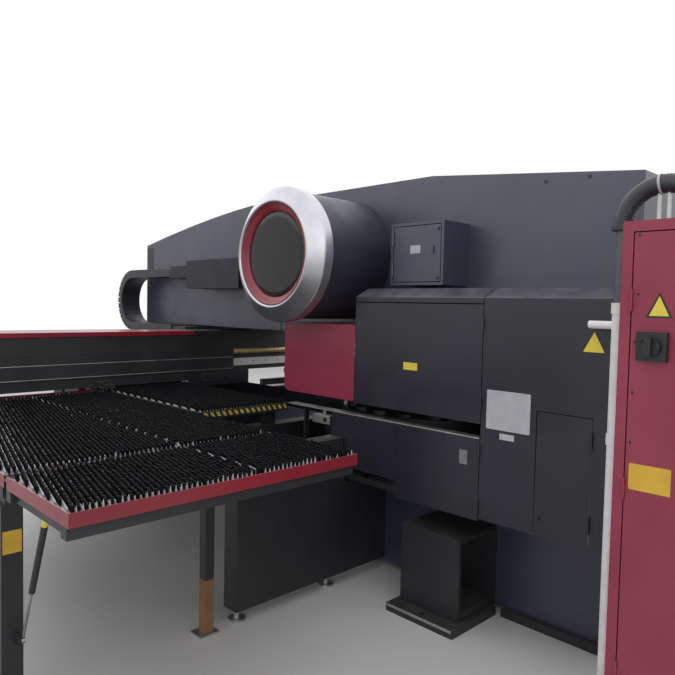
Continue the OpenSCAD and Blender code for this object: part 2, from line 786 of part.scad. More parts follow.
// Moving side table, hung under the beam and rolling on the floor rail
plate_seam_y = -345;
plate_seam_x = table_in + 457;
clamp_room_y = -beam_face + 170;
member_z = 790;
member_w = 50;
member_x = [table_in + 54, column_x0 + 10];
cross_z = 848;
cross_y = [-1200, -760, -320, 120, 500];
cross_w = 40;
hinge_z = plate_top + 4;
flap_hinges = [table_in + 157, table_in + 557, table_out - 155];
module side_table(y1) {
    y0 = -beam_face - 15;
    hang_y0 = -beam_face - beam_d + 25;
    member_y1 = column_y0[0] + column_w + 5;
    fork = 12;
    x_axle = (column_x0 + column_x1) / 2;
    z_axle = floor_rail_t + fit + roller_r;
    rim(table_in, table_out, y0, y1, 4);
    for (x = member_x) {
        at_box(x, x + member_w, hang_y0, member_y1, member_z, cross_z);
        at_box(x, x + member_w, hang_y0, -beam_face - 25, cross_z - 1, beam_z - fit);
    }
    for (y = cross_y) at_box(table_in + 3, table_out - 3, y, y + cross_w, cross_z - 1, plate_top - 5);
    for (y = column_y0) {
        difference() {
            at_box(column_x0, column_x1, y, y + column_w, 70, member_z + 1);
            at_box(column_x0 + fork, column_x1 - fork, y - 1, y + column_w + 1, 60, 130);
        }
        rod_x(x_axle - 20, x_axle + 20, y + column_w / 2, z_axle, roller_r);
        rod_x(column_x0 - 8, column_x1 + 8, y + column_w / 2, 90, 12);
    }
}
strut_x = table_out - 90;
strut_foot = [column_y0[0] + column_w + 27, 313];
strut_head = [flap_y + 129, hinge_z - 92];
strut_len = norm(strut_head - strut_foot);
strut_tilt = atan2(strut_head[0] - strut_foot[0], strut_head[1] - strut_foot[1]);
strut_pin_r = 6;
strut_eye = 6;
module right_table() {
    color(red) {
        difference() {
            side_table(flap_y - 2);
            at_box(table_in + 4, table_out - 4, flap_y - 8, flap_y, plate_top, rim_top + 1);
            for (x = flap_hinges) rod_x(x - knuckle_len / 2 - fit, x + knuckle_len / 2 + fit,
                flap_y, hinge_z, knuckle_r + fit);
        }
        for (x = flap_hinges) {
            for (s = [-1, 1]) {
                xc = x + s * (knuckle_len + fit);
                rod_x(xc - knuckle_len / 2, xc + knuckle_len / 2, flap_y, hinge_z, knuckle_r);
                at_box(xc - knuckle_len / 2, xc + knuckle_len / 2, flap_y - 20, flap_y,
                    plate_top - 1, plate_top + 2);
            }
            rod_x(x - 1.5 * knuckle_len, x + 1.5 * knuckle_len, flap_y, hinge_z, hinge_pin_r);
        }
        // Bracket and pin of the strut's foot, on the rear leg
        at_box(strut_x + strut_eye + 2, strut_x + strut_eye + 10, column_y0[0] + column_w - 1,
            strut_foot[0] + 14, strut_foot[1] - 16, strut_foot[1] + 16);
        rod_x(strut_x - strut_eye - 2, strut_x + strut_eye + 3, strut_foot[0], strut_foot[1],
            strut_pin_r);
    }
}
module left_table() {
    color(red) mirror([1, 0, 0]) {
        side_table(table_rear);
        at_box(table_in + 3, table_out - 3, table_rear - 118, table_rear - 118 + cross_w, cross_z,
            plate_top - 5);
    }
}
module table_mats() {
    x = [table_in + brush_edge, plate_seam_x, table_out - brush_edge];
    y = [clamp_room_y, plate_seam_y, flap_y - 26];
    for (i = [0, 1], j = [0, 1])
        mat(x[i] + 1, x[i + 1] - 1, y[j] + 1, y[j + 1] - 1, 12 + 17 * i + 9 * j);
}
module right_brushes() { color("#17181a") table_mats(); }
module left_brushes() {
    color("#17181a") mirror([1, 0, 0]) {
        table_mats();
        mat(table_in + brush_edge, table_out - brush_edge, flap_y - 20, table_rear - brush_edge, 20);
    }
}
module table_flap() {
    y0 = flap_y + 2;
    edge = 4;
    color(red) {
        difference() {
            union() {
                at_box(table_in, table_out, y0, table_rear, plate_top - 6, plate_top);
                at_box(table_in, table_out, table_rear - edge, table_rear, rim_z, rim_top);
                for (x = [table_in, table_out - edge])
                    at_box(x, x + edge, y0 + 20, table_rear, rim_z, rim_top);
                for (y = [y0 + 10, table_rear - 60])
                    at_box(table_in + 3, table_out - 3, y, y + cross_w, cross_z + fit, plate_top - 5);
                for (x = [member_x[0], table_out - 70])
                    at_box(x, x + member_w, y0 + 10, table_rear - 30, cross_z + fit, plate_top - 5);
            }
            for (x = flap_hinges) rod_x(x - 1.5 * knuckle_len - 1, x + 1.5 * knuckle_len + 1,
                flap_y, hinge_z, knuckle_r + fit);
        }
        for (x = flap_hinges) difference() {
            union() {
                rod_x(x - knuckle_len / 2, x + knuckle_len / 2, flap_y, hinge_z, knuckle_r);
                at_box(x - knuckle_len / 2, x + knuckle_len / 2, flap_y, flap_y + 20,
                    plate_top - 1, plate_top + 2);
            }
            rod_x(x - knuckle_len, x + knuckle_len, flap_y, hinge_z, hinge_pin_r + run);
        }
        // Ear for the strut's head
        at_box(strut_x - 18, strut_x - 14, strut_head[0] - 25, strut_head[0] + 25,
            strut_head[1] - 18, plate_top - 5);
    }
}
module flap_brushes() {
    color("#17181a")
        mat(table_in + brush_edge, table_out - brush_edge, flap_y + 32, table_rear - brush_edge, 20);
}
module on_strut(d) {
    translate([strut_x, strut_foot[0], strut_foot[1]]) rotate([-strut_tilt, 0, 0])
        translate([0, 0, d]) children();
}
gas_rod_r = 5;
cylinder_start = 220;
module strut_rod() {
    color(silver) difference() {
        union() {
            on_strut(0) cylinder(r = gas_rod_r, h = strut_len - 28);
            rod_x(strut_x - strut_eye, strut_x + strut_eye, strut_foot[0], strut_foot[1], 11);
        }
        rod_x(strut_x - 8, strut_x + 8, strut_foot[0], strut_foot[1], strut_pin_r + run);
    }
}
module strut_cylinder() {
    color(dark) difference() {
        union() {
            on_strut(cylinder_start) cylinder(r = 11, h = strut_len - cylinder_start - 8);
            rod_x(strut_x - strut_eye, strut_x + strut_eye, strut_head[0], strut_head[1], 14);
        }
        on_strut(cylinder_start - 1) cylinder(r = gas_rod_r + run, h = strut_len - cylinder_start - 22);
        rod_x(strut_x - 8, strut_x + 8, strut_head[0], strut_head[1], strut_pin_r);
    }
}

// Beam that carries the carriage across the machine
beam_x = table_out;
beam_front = -beam_face - beam_d;
x_rail_z0 = 1034;
x_rail_z1 = 1089;
x_rail_t = 20;
x_screw_y = -beam_face + 33;
x_screw_z = 1143;
x_bearing = 30;
x_screw_x0 = -table_out + 199;
x_screw_x1 = table_out - 55;
chain_x0 = 330;
chain_x1 = 500;
chain_t = 65;
chain_wall = 8;
chain_low = 1261;
chain_high = 1761;
chain_front = 2588;
chain_low_end = beam_front - 190;
chain_run_end = -2208;
chain_fill = chain_t - chain_wall - fit;
module beam() {
    wall = 12;
    color(dark) {
        difference() {
            at_box(-beam_x, beam_x, beam_front, -beam_face, beam_z, beam_z + beam_h);
            at_box(-beam_x + wall, beam_x - wall, beam_front + wall, -beam_face - wall,
                beam_z + wall, beam_z + beam_h - wall);
        }
        // Brackets down to the rails, each with its guide block
        both_sides() {
            at_box(rail_x - 15, rail_x + 15, beam_front + 5, -beam_face - 5, rail_top + 41,
                beam_z - run);
            difference() {
                at_box(rail_x - 17, rail_x + 17, beam_front + 5, -beam_face - 5, rail_top - 16,
                    rail_top + 42);
                at_box(rail_x - rail_w / 2 - fit, rail_x + rail_w / 2 + fit, beam_front, -beam_face,
                    rail_top - 20, rail_top + fit);
            }
        }
        // Nut of the long screw
        difference() {
            union() {
                at_box(screw_x - 25, screw_x + 25, beam_front + 55, beam_front + 115,
                    screw_z - 25, screw_z + 25);
                at_box(screw_x + 24, rail_x - 14, beam_front + 55, beam_front + 115,
                    rail_top + 8, rail_top + 38);
            }
            rod_y(screw_x, beam_front, -beam_face, screw_z, screw_r + run);
        }
        // Bearings and motor of the cross screw
        for (x = [x_screw_x0 - x_bearing, x_screw_x1]) difference() {
            at_box(x, x + x_bearing, -beam_face + run, -beam_face + 60, x_screw_z - 30,
                x_screw_z + 30);
            rod_x(x - 1, x + x_bearing + 1, x_screw_y, x_screw_z, journal_r + run);
        }
        at_box(-beam_x + 5, x_screw_x0 - x_bearing - 14, -beam_face + run, -beam_face + 80,
            x_screw_z - 42, x_screw_z + 48);
        // Lower end of the energy chain
        at_box(chain_x0 + 12, chain_x1 - 12, beam_front - 55, beam_front - run, chain_low - 81,
            chain_low + chain_fill);
        at_box(chain_x0 + 12, chain_x1 - 12, chain_run_end, beam_front - 54,
            chain_low + chain_wall + fit, chain_low + chain_fill);
    }
}
// A sheet-metal cover on the beam's top, red beside the frame and dark where it passes it
module beam_lid(x0, x1) {
    z0 = beam_z + beam_h + fit;
    lid_h = 29;
    y0 = beam_front + 2;
    y1 = -beam_face + 5;
    difference() {
        at_box(x0, x1, y0, y1, z0, z0 + lid_h);
        at_box(x0 + sheet, x1 - sheet, y0 + sheet, y1 - sheet, z0 - 1, z0 + lid_h - sheet);
    }
}
module beam_cover() {
    mid_x = side + 270;
    color(red) both_sides() beam_lid(mid_x + seam, beam_x);
    color(dark) beam_lid(-mid_x, mid_x);
}
module x_rail() {
    color(silver) difference() {
        at_box(-beam_x + 20, beam_x - 20, -beam_face, -beam_face + x_rail_t, x_rail_z0, x_rail_z1);
        for (x = [-beam_x + 65 : 120 : beam_x - 60])
            rod_y(x, -beam_face + x_rail_t - 9, -beam_face + x_rail_t + 1, (x_rail_z0 + x_rail_z1) / 2, 7);
    }
}
module x_ballscrew() {
    color(brass) {
        rod_x(x_screw_x0 + fit, x_screw_x1 - fit, x_screw_y, x_screw_z, screw_r);
        rod_x(x_screw_x0 - x_bearing - 8, x_screw_x1 + x_bearing, x_screw_y, x_screw_z, journal_r);
    }
}
carriage_y1 = -beam_face + 60;
carriage_z0 = x_rail_z0 - 15;
carriage_z1 = x_rail_z1 + 16;
carriage_top = x_screw_z + 33;
clamp_low = brush_top + 2;
clamp_top = clamp_low + 40;
clamp_x0 = carriage_end + 230;
module carriage() {
    x1 = carriage_end + carriage_len;
    end_w = 56;
    nose_y1 = carriage_y1 - 11;
    color(dark) difference() {
        union() {
            at_box(carriage_end, x1, -beam_face + fit, carriage_y1, carriage_z0, carriage_z1);
            at_box(carriage_end, x1, nose_y1 - 29, nose_y1, clamp_low + 6, carriage_z0 + 1);
            at_box(carriage_end, x1, nose_y1 - 33, nose_y1, clamp_low + 2, clamp_low + 7);
            at_box(carriage_end, x1, carriage_y1 - 3, carriage_y1, carriage_z1 - 1, carriage_top);
            at_box(carriage_end, carriage_end + end_w, -beam_face + 5, carriage_y1, carriage_z1 - 1,
                carriage_top);
            at_box(x1 - 8, x1, -beam_face + 5, carriage_y1, carriage_z1 - 1, carriage_top);
        }
        at_box(carriage_end - 1, x1 + 1, -beam_face - 1, -beam_face + x_rail_t + fit,
            x_rail_z0 - fit, x_rail_z1 + fit);
        rod_x(carriage_end - 1, x1 + 1, x_screw_y, x_screw_z, screw_r + run);
    }
}
clamp_pivot_y = -beam_face + 95;
clamp_pivot_z = clamp_low + 24;
clamp_pin_r = 5;
jaw_w = clamp_w - 28;
jaw_outline = [[-14, -7], [-10, 10], [15, 10], [54, -4], [54, -12], [40, -12]];
module at_clamp(i) { translate([clamp_x0 + i * clamp_pitch, 0, 0]) children(); }
module clamp_bodies() {
    y0 = carriage_y1 - 11 + fit;
    cheek_y1 = clamp_pivot_y + 12;
    color(steel) for (i = [0 : 2]) at_clamp(i) {
        at_box(-clamp_w / 2, clamp_w / 2, y0, clamp_pivot_y + 55, clamp_low, clamp_low + 8);
        at_box(-clamp_w / 2, clamp_w / 2, y0, carriage_y1 + 14, clamp_low, clamp_top);
        for (s = [-1, 1]) at_box(s > 0 ? jaw_w / 2 + fit : -clamp_w / 2,
            s > 0 ? clamp_w / 2 : -jaw_w / 2 - fit, y0, cheek_y1, clamp_low, clamp_top);
        rod_x(-clamp_w / 2 + 1, clamp_w / 2 - 1, clamp_pivot_y, clamp_pivot_z, clamp_pin_r);
    }
}
module clamp_jaw(i) {
    color(silver) at_clamp(i) translate([0, clamp_pivot_y, clamp_pivot_z]) difference() {
        across(-jaw_w / 2, jaw_w / 2) polygon(jaw_outline);
        rod_x(-jaw_w, jaw_w, 0, 0, clamp_pin_r + run);
    }
}
module clamp_jaw_1() { clamp_jaw(0); }
module clamp_jaw_2() { clamp_jaw(1); }
module clamp_jaw_3() { clamp_jaw(2); }

// Energy chain at the side of the frame, and the trough that its upper run slides into
chain_bend = (chain_high - chain_low) / 2;
chain_bend_y = -chain_front + chain_bend;
module chain_section() {
    difference() {
        translate([-chain_t, 0]) square([chain_t, chain_x1 - chain_x0]);
        translate([-chain_t + chain_wall, chain_wall])
            square([chain_t - 2 * chain_wall, chain_x1 - chain_x0 - 2 * chain_wall]);
    }
}
module chain_tube(y0, y1, z0) {
    difference() {
        at_box(chain_x0, chain_x1, y0, y1, z0, z0 + chain_t);
        at_box(chain_x0 + chain_wall, chain_x1 - chain_wall, y0 - 1, y1 + 1, z0 + chain_wall,
            z0 + chain_t - chain_wall);
    }
}
module y_chain() {
    color("#16171a") {
        translate([chain_x0, chain_bend_y, chain_low + chain_bend]) rotate([90, 0, 90])
            rotate([0, 0, 90]) rotate_extrude(angle = 180, $fn = 96)
                translate([chain_bend, 0]) chain_section();
        chain_tube(chain_bend_y, -1700, chain_high - chain_t);
        chain_tube(chain_bend_y, chain_low_end, chain_low);
    }
}
module open_tube(x0, x1, y0, y1, z0, z1, t) {
    difference() {
        at_box(x0, x1, y0, y1, z0, z1);
        at_box(x0 + t, x1 - t, y0 - 1, y1 + 1, z0 + t, z1 - t);
    }
}
module chain_trough() {
    wall = 5;
    x1 = chain_x1 + 12;
    tray_y = [-1462, -805];
    tray_z = [chain_high - 158, chain_high + 48];
    run_y0 = -1694;
    run_z = [chain_high - chain_t - 12, chain_high + 12];
    anchor_y = -1150;
    color(black) {
        open_tube(side + band_t + fit, x1, tray_y[0], tray_y[1], tray_z[0], tray_z[1], wall);
        for (y = [tray_y[1] - 6, anchor_y])
            at_box(side + band_t + fit + 1, x1 - 1, y, y + 6, tray_z[0] + 1, tray_z[1] - 1);
        open_tube(chain_x0 - 12, x1, run_y0, tray_y[0] + 1, run_z[0], run_z[1], wall);
        at_box(seat, chain_x0 - 11, run_y0, tray_y[0] - 6, run_z[0], run_z[1]);
        at_box(chain_x0 + 12, chain_x1 - 12, -1835, anchor_y + 1,
            chain_high - chain_t + chain_wall + fit, chain_high - chain_wall - fit);
    }
}

// Electrical cabinet, its pipe and hose, and the small box on the frame
cabinet_border = 40;
plinth = 60;
cab_door_y0 = cabinet_y + cabinet_border;
cab_door_y1 = cabinet_y + cabinet_w - cabinet_border;
cab_door_z1 = cabinet_h - cabinet_border;
isolator_y = 1996;
isolator_z = 1388;
cab_hinges = [260, 900, 1540];
module box_with_door(x0, x1, y, z, door_y, door_z) {
    difference() {
        at_box(x0, x1, y[0], y[1], z[0], z[1]);
        at_box(x0 + sheet, x1 - sheet, y[0] + sheet, y[1] - sheet, z[0] + sheet, z[1] - sheet);
        at_box(x1 - sheet - 1, x1 + 1, door_y[0] - seam, door_y[1] + seam, door_z[0] - seam,
            door_z[1] + seam);
    }
}
hose_r = 34;
hose_bend = 142;
pipe_x = 700;
pipe_y = 1815;
hose_y = pipe_y + hose_bend;
module cabinet_shell() {
    color(red) {
        box_with_door(cabinet_x - cabinet_d, cabinet_x, [cabinet_y, cabinet_y + cabinet_w],
            [0, cabinet_h], [cab_door_y0, cab_door_y1], [plinth, cab_door_z1]);
        for (z = cab_hinges) post_half(cabinet_x, cab_door_y0 - seam / 2, z, -1);
    }
}
module cabinet_door() {
    plate_h = 96;
    color(red) {
        panel(cab_door_y0, cab_door_y1, plinth, cab_door_z1, cabinet_x);
        for (z = cab_hinges) door_half(cabinet_x, cab_door_y0 - seam / 2, z, 1);
    }
    color(black) {
        at_box(cabinet_x - 1, cabinet_x + 26, isolator_y - plate_h / 2, isolator_y + plate_h / 2,
            isolator_z - plate_h / 2, isolator_z + plate_h / 2);
        rod_x(cabinet_x + 25, cabinet_x + 52, isolator_y, isolator_z, 6);
        at_box(cabinet_x - 1, cabinet_x + 12, cab_door_y1 - 60, cab_door_y1 - 30, 1030, 1190);
    }
}
module isolator_knob() {
    x0 = cabinet_x + 26 + fit;
    color(black) difference() {
        union() {
            rod_x(x0, x0 + 14, isolator_y, isolator_z, 32);
            at_box(x0, x0 + 34, isolator_y - 11, isolator_y + 11, isolator_z - 30, isolator_z + 30);
        }
        rod_x(x0 - 1, cabinet_x + 52 + fit, isolator_y, isolator_z, 6 + run);
    }
}
module servo_drives() {
    back = cabinet_x - cabinet_d + sheet;
    plate_x = back + 27;
    color(steel) {
        at_box(plate_x, plate_x + 4, cab_door_y0 + 10, cab_door_y1 - 10, 160, 1700);
        for (y = [cab_door_y0 + 60, cab_door_y1 - 60], z = [240, 1620]) rod_x(back, plate_x + 1, y, z, 12);
    }
    color(dark) {
        for (i = [0 : 3]) at_box(plate_x + 3, plate_x + 180, cab_door_y0 + 40 + i * 140,
            cab_door_y0 + 150 + i * 140, 1180, 1560);
        at_box(plate_x + 3, plate_x + 220, cab_door_y0 + 60, cab_door_y1 - 60, 300, 620);
        for (i = [0 : 5]) at_box(plate_x + 3, plate_x + 80, cab_door_y0 + 60 + i * 85,
            cab_door_y0 + 120 + i * 85, 800, 900);
    }
}
module conduit_pipe() {
    pipe_r = 25;
    pipe_top = 1512;
    color("#d9dadb") {
        rod_z(pipe_x, pipe_y, 0, pipe_top, pipe_r);
        for (z = [1010, pipe_top - 20]) rod_z(pipe_x, pipe_y, z, z + 40, pipe_r + 4);
        rod_y(pipe_x, pipe_y - 110, pipe_y, 1450, 15);
    }
    color(dark) {
        rod_z(pipe_x, pipe_y, pipe_top, cabinet_h - 12, pipe_r - 4);
        for (z = [700, 1300]) at_box(cover_x + fit, pipe_x, pipe_y - 20, pipe_y + 20, z, z + 24);
    }
}
module hose() {
    color("#1c1d20") {
        translate([pipe_x, hose_y, cabinet_h]) rotate([90, 0, 90])
            rotate_extrude(angle = 180, $fn = 96) translate([hose_bend, 0]) circle(r = hose_r, $fn = 48);
        rod_z(pipe_x, pipe_y, cabinet_h - 12, cabinet_h + 1, hose_r + 4);
        rod_z(pipe_x, hose_y + hose_bend, cabinet_h, cabinet_h + 22, hose_r + 12);
    }
}
junction_y = [544, 880];
junction_z = [1612, 1928];
junction_x = 512;
junction_border = 18;
junction_hinges = [1690, 1850];
module junction_box() {
    color(black) {
        box_with_door(seat, junction_x, junction_y, junction_z,
            junction_y + [junction_border, -junction_border],
            junction_z + [junction_border, -junction_border]);
        for (z = junction_hinges)
            post_half(junction_x, junction_y[0] + junction_border - seam / 2, z, -1);
    }
}
module junction_door() {
    y = junction_y + [junction_border, -junction_border];
    z = junction_z + [junction_border, -junction_border];
    color(black) {
        panel(y[0], y[1], z[0], z[1], junction_x);
        for (h = junction_hinges) door_half(junction_x, y[0] - seam / 2, h, 1);
        for (h = [1650, 1890]) rod_x(junction_x - 1, junction_x + 9, y[1] - 20, h, 9);
        at_box(junction_x - 1, junction_x + 8, y[1] - 60, y[1] - 40, 1770, 1806);
    }
}

main_frame();
foot_plates();
bearings();
servo_stator();
drum_housing();
drum_ring();
drum_face();
ram_guide();
die_support();
turret_belts();
turret_motor();
red_guard();
turret_hood();
rear_cover();
lower_cover();
cover_frame();
left_covers();
table_bases();
centre_tables();
centre_brushes();
chain_trough();
cabinet_shell();
servo_drives();
conduit_pipe();
hose();
junction_box();
crankshaft();
connecting_rod();
ram();
upper_turret();
upper_punches();
struck_punch();
lower_turret();
dies();
turret_drive_shaft();
turret_door();
rear_door();
lower_door();
right_table();
right_brushes();
left_table();
left_brushes();
table_flap();
flap_brushes();
strut_cylinder();
strut_rod();
beam();
beam_cover();
x_rail();
x_ballscrew();
carriage();
clamp_bodies();
clamp_jaw_1();
clamp_jaw_2();
clamp_jaw_3();
y_ballscrew();
y_chain();
junction_door();
cabinet_door();
isolator_knob();
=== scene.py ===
"""The looks of a CNC turret punch press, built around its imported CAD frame.

Lengths in the calls are millimetres, and mm() turns them to Blender's metres.
"""

import json
import math
import random

import bmesh
import bpy
from mathutils import Matrix, Vector


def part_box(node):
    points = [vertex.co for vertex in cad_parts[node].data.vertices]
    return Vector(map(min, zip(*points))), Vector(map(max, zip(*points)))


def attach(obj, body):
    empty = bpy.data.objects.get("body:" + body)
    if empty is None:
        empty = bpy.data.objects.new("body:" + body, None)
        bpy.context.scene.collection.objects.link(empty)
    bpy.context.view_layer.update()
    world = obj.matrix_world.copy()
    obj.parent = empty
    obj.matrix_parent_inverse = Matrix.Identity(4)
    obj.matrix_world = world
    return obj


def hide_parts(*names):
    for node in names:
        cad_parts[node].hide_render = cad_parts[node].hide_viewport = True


UP = Vector((0, 0, 1))
IMAGE_PX = 675
FOCAL_PX = 650
SENSOR_MM = 36


def mm(*lengths):
    """Millimetres to metres: one length as a number, several as a vector."""
    if len(lengths) == 1:
        return lengths[0] / 1000
    return Vector(lengths) / 1000


def add_camera():
    """Eye-height camera behind the machine's right side, as the photograph was taken."""
    place = (3.095, 2.791, 1.5)
    heading = Vector((-0.6997, -0.7133, 0)).normalized()
    pitch, roll = math.radians(2.8), math.radians(1.23)
    forward = heading * math.cos(pitch) - UP * math.sin(pitch)
    right = forward.cross(UP).normalized()
    upright = right.cross(forward)
    tilted_right = right * math.cos(roll) + upright * math.sin(roll)
    tilted_up = upright * math.cos(roll) - right * math.sin(roll)
    data = bpy.data.cameras.new("camera")
    data.sensor_width = SENSOR_MM
    data.lens = FOCAL_PX / IMAGE_PX * SENSOR_MM
    data.clip_end = 60
    camera = bpy.data.objects.new("camera", data)
    bpy.context.collection.objects.link(camera)
    turn = Matrix((tilted_right, tilted_up, -forward)).transposed()
    camera.matrix_world = Matrix.Translation(place) @ turn.to_4x4()
    bpy.context.scene.camera = camera


add_camera()
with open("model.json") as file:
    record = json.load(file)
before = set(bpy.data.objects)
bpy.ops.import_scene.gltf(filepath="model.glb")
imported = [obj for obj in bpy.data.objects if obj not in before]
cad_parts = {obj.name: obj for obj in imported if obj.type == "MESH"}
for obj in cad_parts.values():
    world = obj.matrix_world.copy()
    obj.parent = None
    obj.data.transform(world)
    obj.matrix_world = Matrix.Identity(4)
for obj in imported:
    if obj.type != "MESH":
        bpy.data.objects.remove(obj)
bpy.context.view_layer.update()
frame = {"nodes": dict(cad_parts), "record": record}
bpy.context.scene.view_settings.view_transform = "Standard"
BODY_OF = {node: body for body, nodes in frame["record"]["behaviour"]["bodies"].items()
           for node in nodes}


# Materials


def linear(code):
    """An sRGB hex colour as the linear RGBA that the shaders take."""
    channels = [int(code[i:i + 2], 16) / 255 for i in (1, 3, 5)]
    curve = [c / 12.92 if c <= 0.04045 else ((c + 0.055) / 1.055) ** 2.4 for c in channels]
    return (*curve, 1)


def add_node(tree, kind, links=(), **settings):
    """Adds a shader node, sets its inputs and properties, and links (input, output) pairs."""
    made = tree.nodes.new(kind)
    for key, value in settings.items():
        name = key.replace("_", " ").title()
        if name in made.inputs:
            made.inputs[name].default_value = value
        else:
            setattr(made, key, value)
    for socket, source in links:
        tree.links.new(source, made.inputs[socket])
    return made


def noise(tree, size, detail, stretch=(1, 1, 1)):
    """Noise on object coordinates whose lumps are about size mm across."""
    place = add_node(tree, "ShaderNodeTexCoord").outputs["Object"]
    if stretch != (1, 1, 1):
        place = add_node(tree, "ShaderNodeMapping", [("Vector", place)], scale=stretch).outputs[0]
    made = add_node(tree, "ShaderNodeTexNoise", [("Vector", place)], scale=1 / mm(size),
                    detail=detail)
    return made.outputs["Fac"]


def ramp(tree, source, low, high, start=0.0, end=1.0):
    """Turns a pattern's values between low and high into numbers from start to end."""
    made = add_node(tree, "ShaderNodeMapRange", [("Value", source)])
    for name, value in (("From Min", low), ("From Max", high), ("To Min", start), ("To Max", end)):
        made.inputs[name].default_value = value
    return made.outputs[0]


def mix(tree, factor, first, second):
    """Mixes two colours, each a hex code or an output, by a pattern."""
    made = add_node(tree, "ShaderNodeMix", [(0, factor)], data_type="RGBA")
    for slot, colour in ((6, first), (7, second)):
        if isinstance(colour, str):
            made.inputs[slot].default_value = linear(colour)
        else:
            tree.links.new(colour, made.inputs[slot])
    return made.outputs[2]


def upward(tree):
    """1 on faces that look up, where dust settles, and 0 on walls and undersides."""
    normal = add_node(tree, "ShaderNodeNewGeometry").outputs["Normal"]
    parts = add_node(tree, "ShaderNodeSeparateXYZ", [("Vector", normal)])
    return ramp(tree, parts.outputs["Z"], 0.35, 0.95)


def times(tree, first, second):
    """The product of two patterns."""
    made = add_node(tree, "ShaderNodeMath", [(0, first), (1, second)], operation="MULTIPLY")
    return made.outputs[0]


def new_material(name, metallic=0.0, specular=0.5):
    """An empty material and its principled shader."""
    material = bpy.data.materials.new(name)
    material.use_nodes = True
    tree = material.node_tree
    bsdf = tree.nodes["Principled BSDF"]
    bsdf.inputs["Metallic"].default_value = metallic
    bsdf.inputs["Specular IOR Level"].default_value = specular
    return material, tree, bsdf


def relief(tree, bsdf, height, depth, strength):
    """Bump of a given depth in mm on the shader's normal."""
    made = add_node(tree, "ShaderNodeBump", [("Height", height)], distance=mm(depth))
    made.inputs["Strength"].default_value = strength
    tree.links.new(made.outputs[0], bsdf.inputs["Normal"])


def enamel(name, colour, worn, dust, rough, peel=6.0, peel_depth=0.12, specular=0.5):
    """Baked enamel or powder coat: an orange-peel skin, cloudy tone, and dust on what faces up.

    The peel of a real coat is 2 to 3 mm across; it is drawn coarser so that the render shows it.
    """
    material, tree, bsdf = new_material(name, specular=specular)
    tone = mix(tree, ramp(tree, noise(tree, 420, 4), 0.35, 0.7), colour, worn)
    settled = times(tree, upward(tree), ramp(tree, noise(tree, 90, 5), 0.3, 0.75, 0.15, 0.6))
    tree.links.new(mix(tree, settled, tone, dust), bsdf.inputs["Base Color"])
    tree.links.new(ramp(tree, noise(tree, 150, 5), 0.3, 0.7, rough - 0.05, rough + 0.07),
                   bsdf.inputs["Roughness"])
    relief(tree, bsdf, noise(tree, peel, 1), peel_depth, 0.25)
    return material


def metal(name, colour, shade, rough, grain_size, grain=(1, 1, 1), depth=0.03, metallic=1.0):
    """Bare metal whose grain follows the way it was turned, ground or brushed."""
    material, tree, bsdf = new_material(name, metallic=metallic)
    streaks = noise(tree, grain_size, 2, grain)
    tree.links.new(mix(tree, ramp(tree, noise(tree, 120, 4), 0.3, 0.7), colour, shade),
                   bsdf.inputs["Base Color"])
    tree.links.new(ramp(tree, streaks, 0.2, 0.8, rough - 0.07, rough + 0.1),
                   bsdf.inputs["Roughness"])
    relief(tree, bsdf, streaks, depth, 0.3)
    return material


def plastic(name, colour, shade, rough, grain=1.2, depth=0.04, specular=0.5):
    """Moulded or extruded plastic with a fine matt grain."""
    material, tree, bsdf = new_material(name, specular=specular)
    tree.links.new(mix(tree, ramp(tree, noise(tree, 60, 4), 0.3, 0.7), colour, shade),
                   bsdf.inputs["Base Color"])
    tree.links.new(ramp(tree, noise(tree, 30, 3), 0.3, 0.7, rough - 0.05, rough + 0.08),
                   bsdf.inputs["Roughness"])
    relief(tree, bsdf, noise(tree, grain, 1), depth, 0.3)
    return material


# Powder coat on the frame and its boxes: near black, satin, with a cloudy sheen from the ceiling.
frame_enamel = enamel("satin_black_frame_enamel", "#2d3142", "#353a4d", "#868a9c", 0.36,
                      specular=0.8)
# Painted shade: near-black paint without gloss in the throat, standing for the shade that fills it,
# where no light comes back from it.
throat_painted_shade = enamel("throat_paint_with_painted_shade", "#131418", "#1b1c21", "#26262a", 0.85,
                      specular=0.0)
# The sheet-metal covers are a shade blacker and smoother than the frame.
cover_enamel = enamel("black_cover_powder_coat", "#20212a", "#282933", "#7c7d8a", 0.33, peel=4.0)
# Brushed-on machine paint of the bases and beams, duller than the covers.
base_paint = enamel("matt_black_base_paint", "#1d1e22", "#292a2e", "#56524f", 0.46, peel=9.0,
                    peel_depth=0.25)
# Crimson stove enamel of the guards and the cabinet: dull red with a soft gloss.
red_enamel = enamel("crimson_stove_enamel", "#882c40", "#95394f", "#ad868c", 0.34, peel=5.0)
# The same enamel sprayed on the rims and the beam cover, a cleaner red.
rim_enamel = enamel("crimson_rim_enamel", "#8c1f2e", "#7e2230", "#b08a8e", 0.3, peel=4.0)
# Semi-matt enamel of the rolled drum, duller than the pressed covers.
drum_enamel = enamel("drum_black_enamel", "#2a2c38", "#30323e", "#5c5e6a", 0.52, peel=4.0)
# Gloss black sheet behind the drum's opening: smooth enough to mirror the lamps.
disc_gloss = enamel("gloss_black_disc_enamel", "#101114", "#17181b", "#2a2a2d", 0.12, peel=30.0,
                    peel_depth=0.05, specular=0.36)
# Dull blue-black paint of the chain's trough.
trough_enamel = enamel("trough_black_enamel", "#191b26", "#20222e", "#4a4c5a", 0.5,
                       specular=0.32)
# Silver paint on the drum's spun rim: fine flake with a broad soft highlight.
rim_silver = metal("silver_flake_rim_paint", "#b9b9be", "#a9a9af", 0.33, 1.5, depth=0.02,
                   metallic=0.85)
# Turned and ground steel of shafts, bearings, punches and the ram.
turned_steel = metal("turned_steel", "#8f9196", "#7b7d82", 0.3, 3.0, (30, 1, 1))
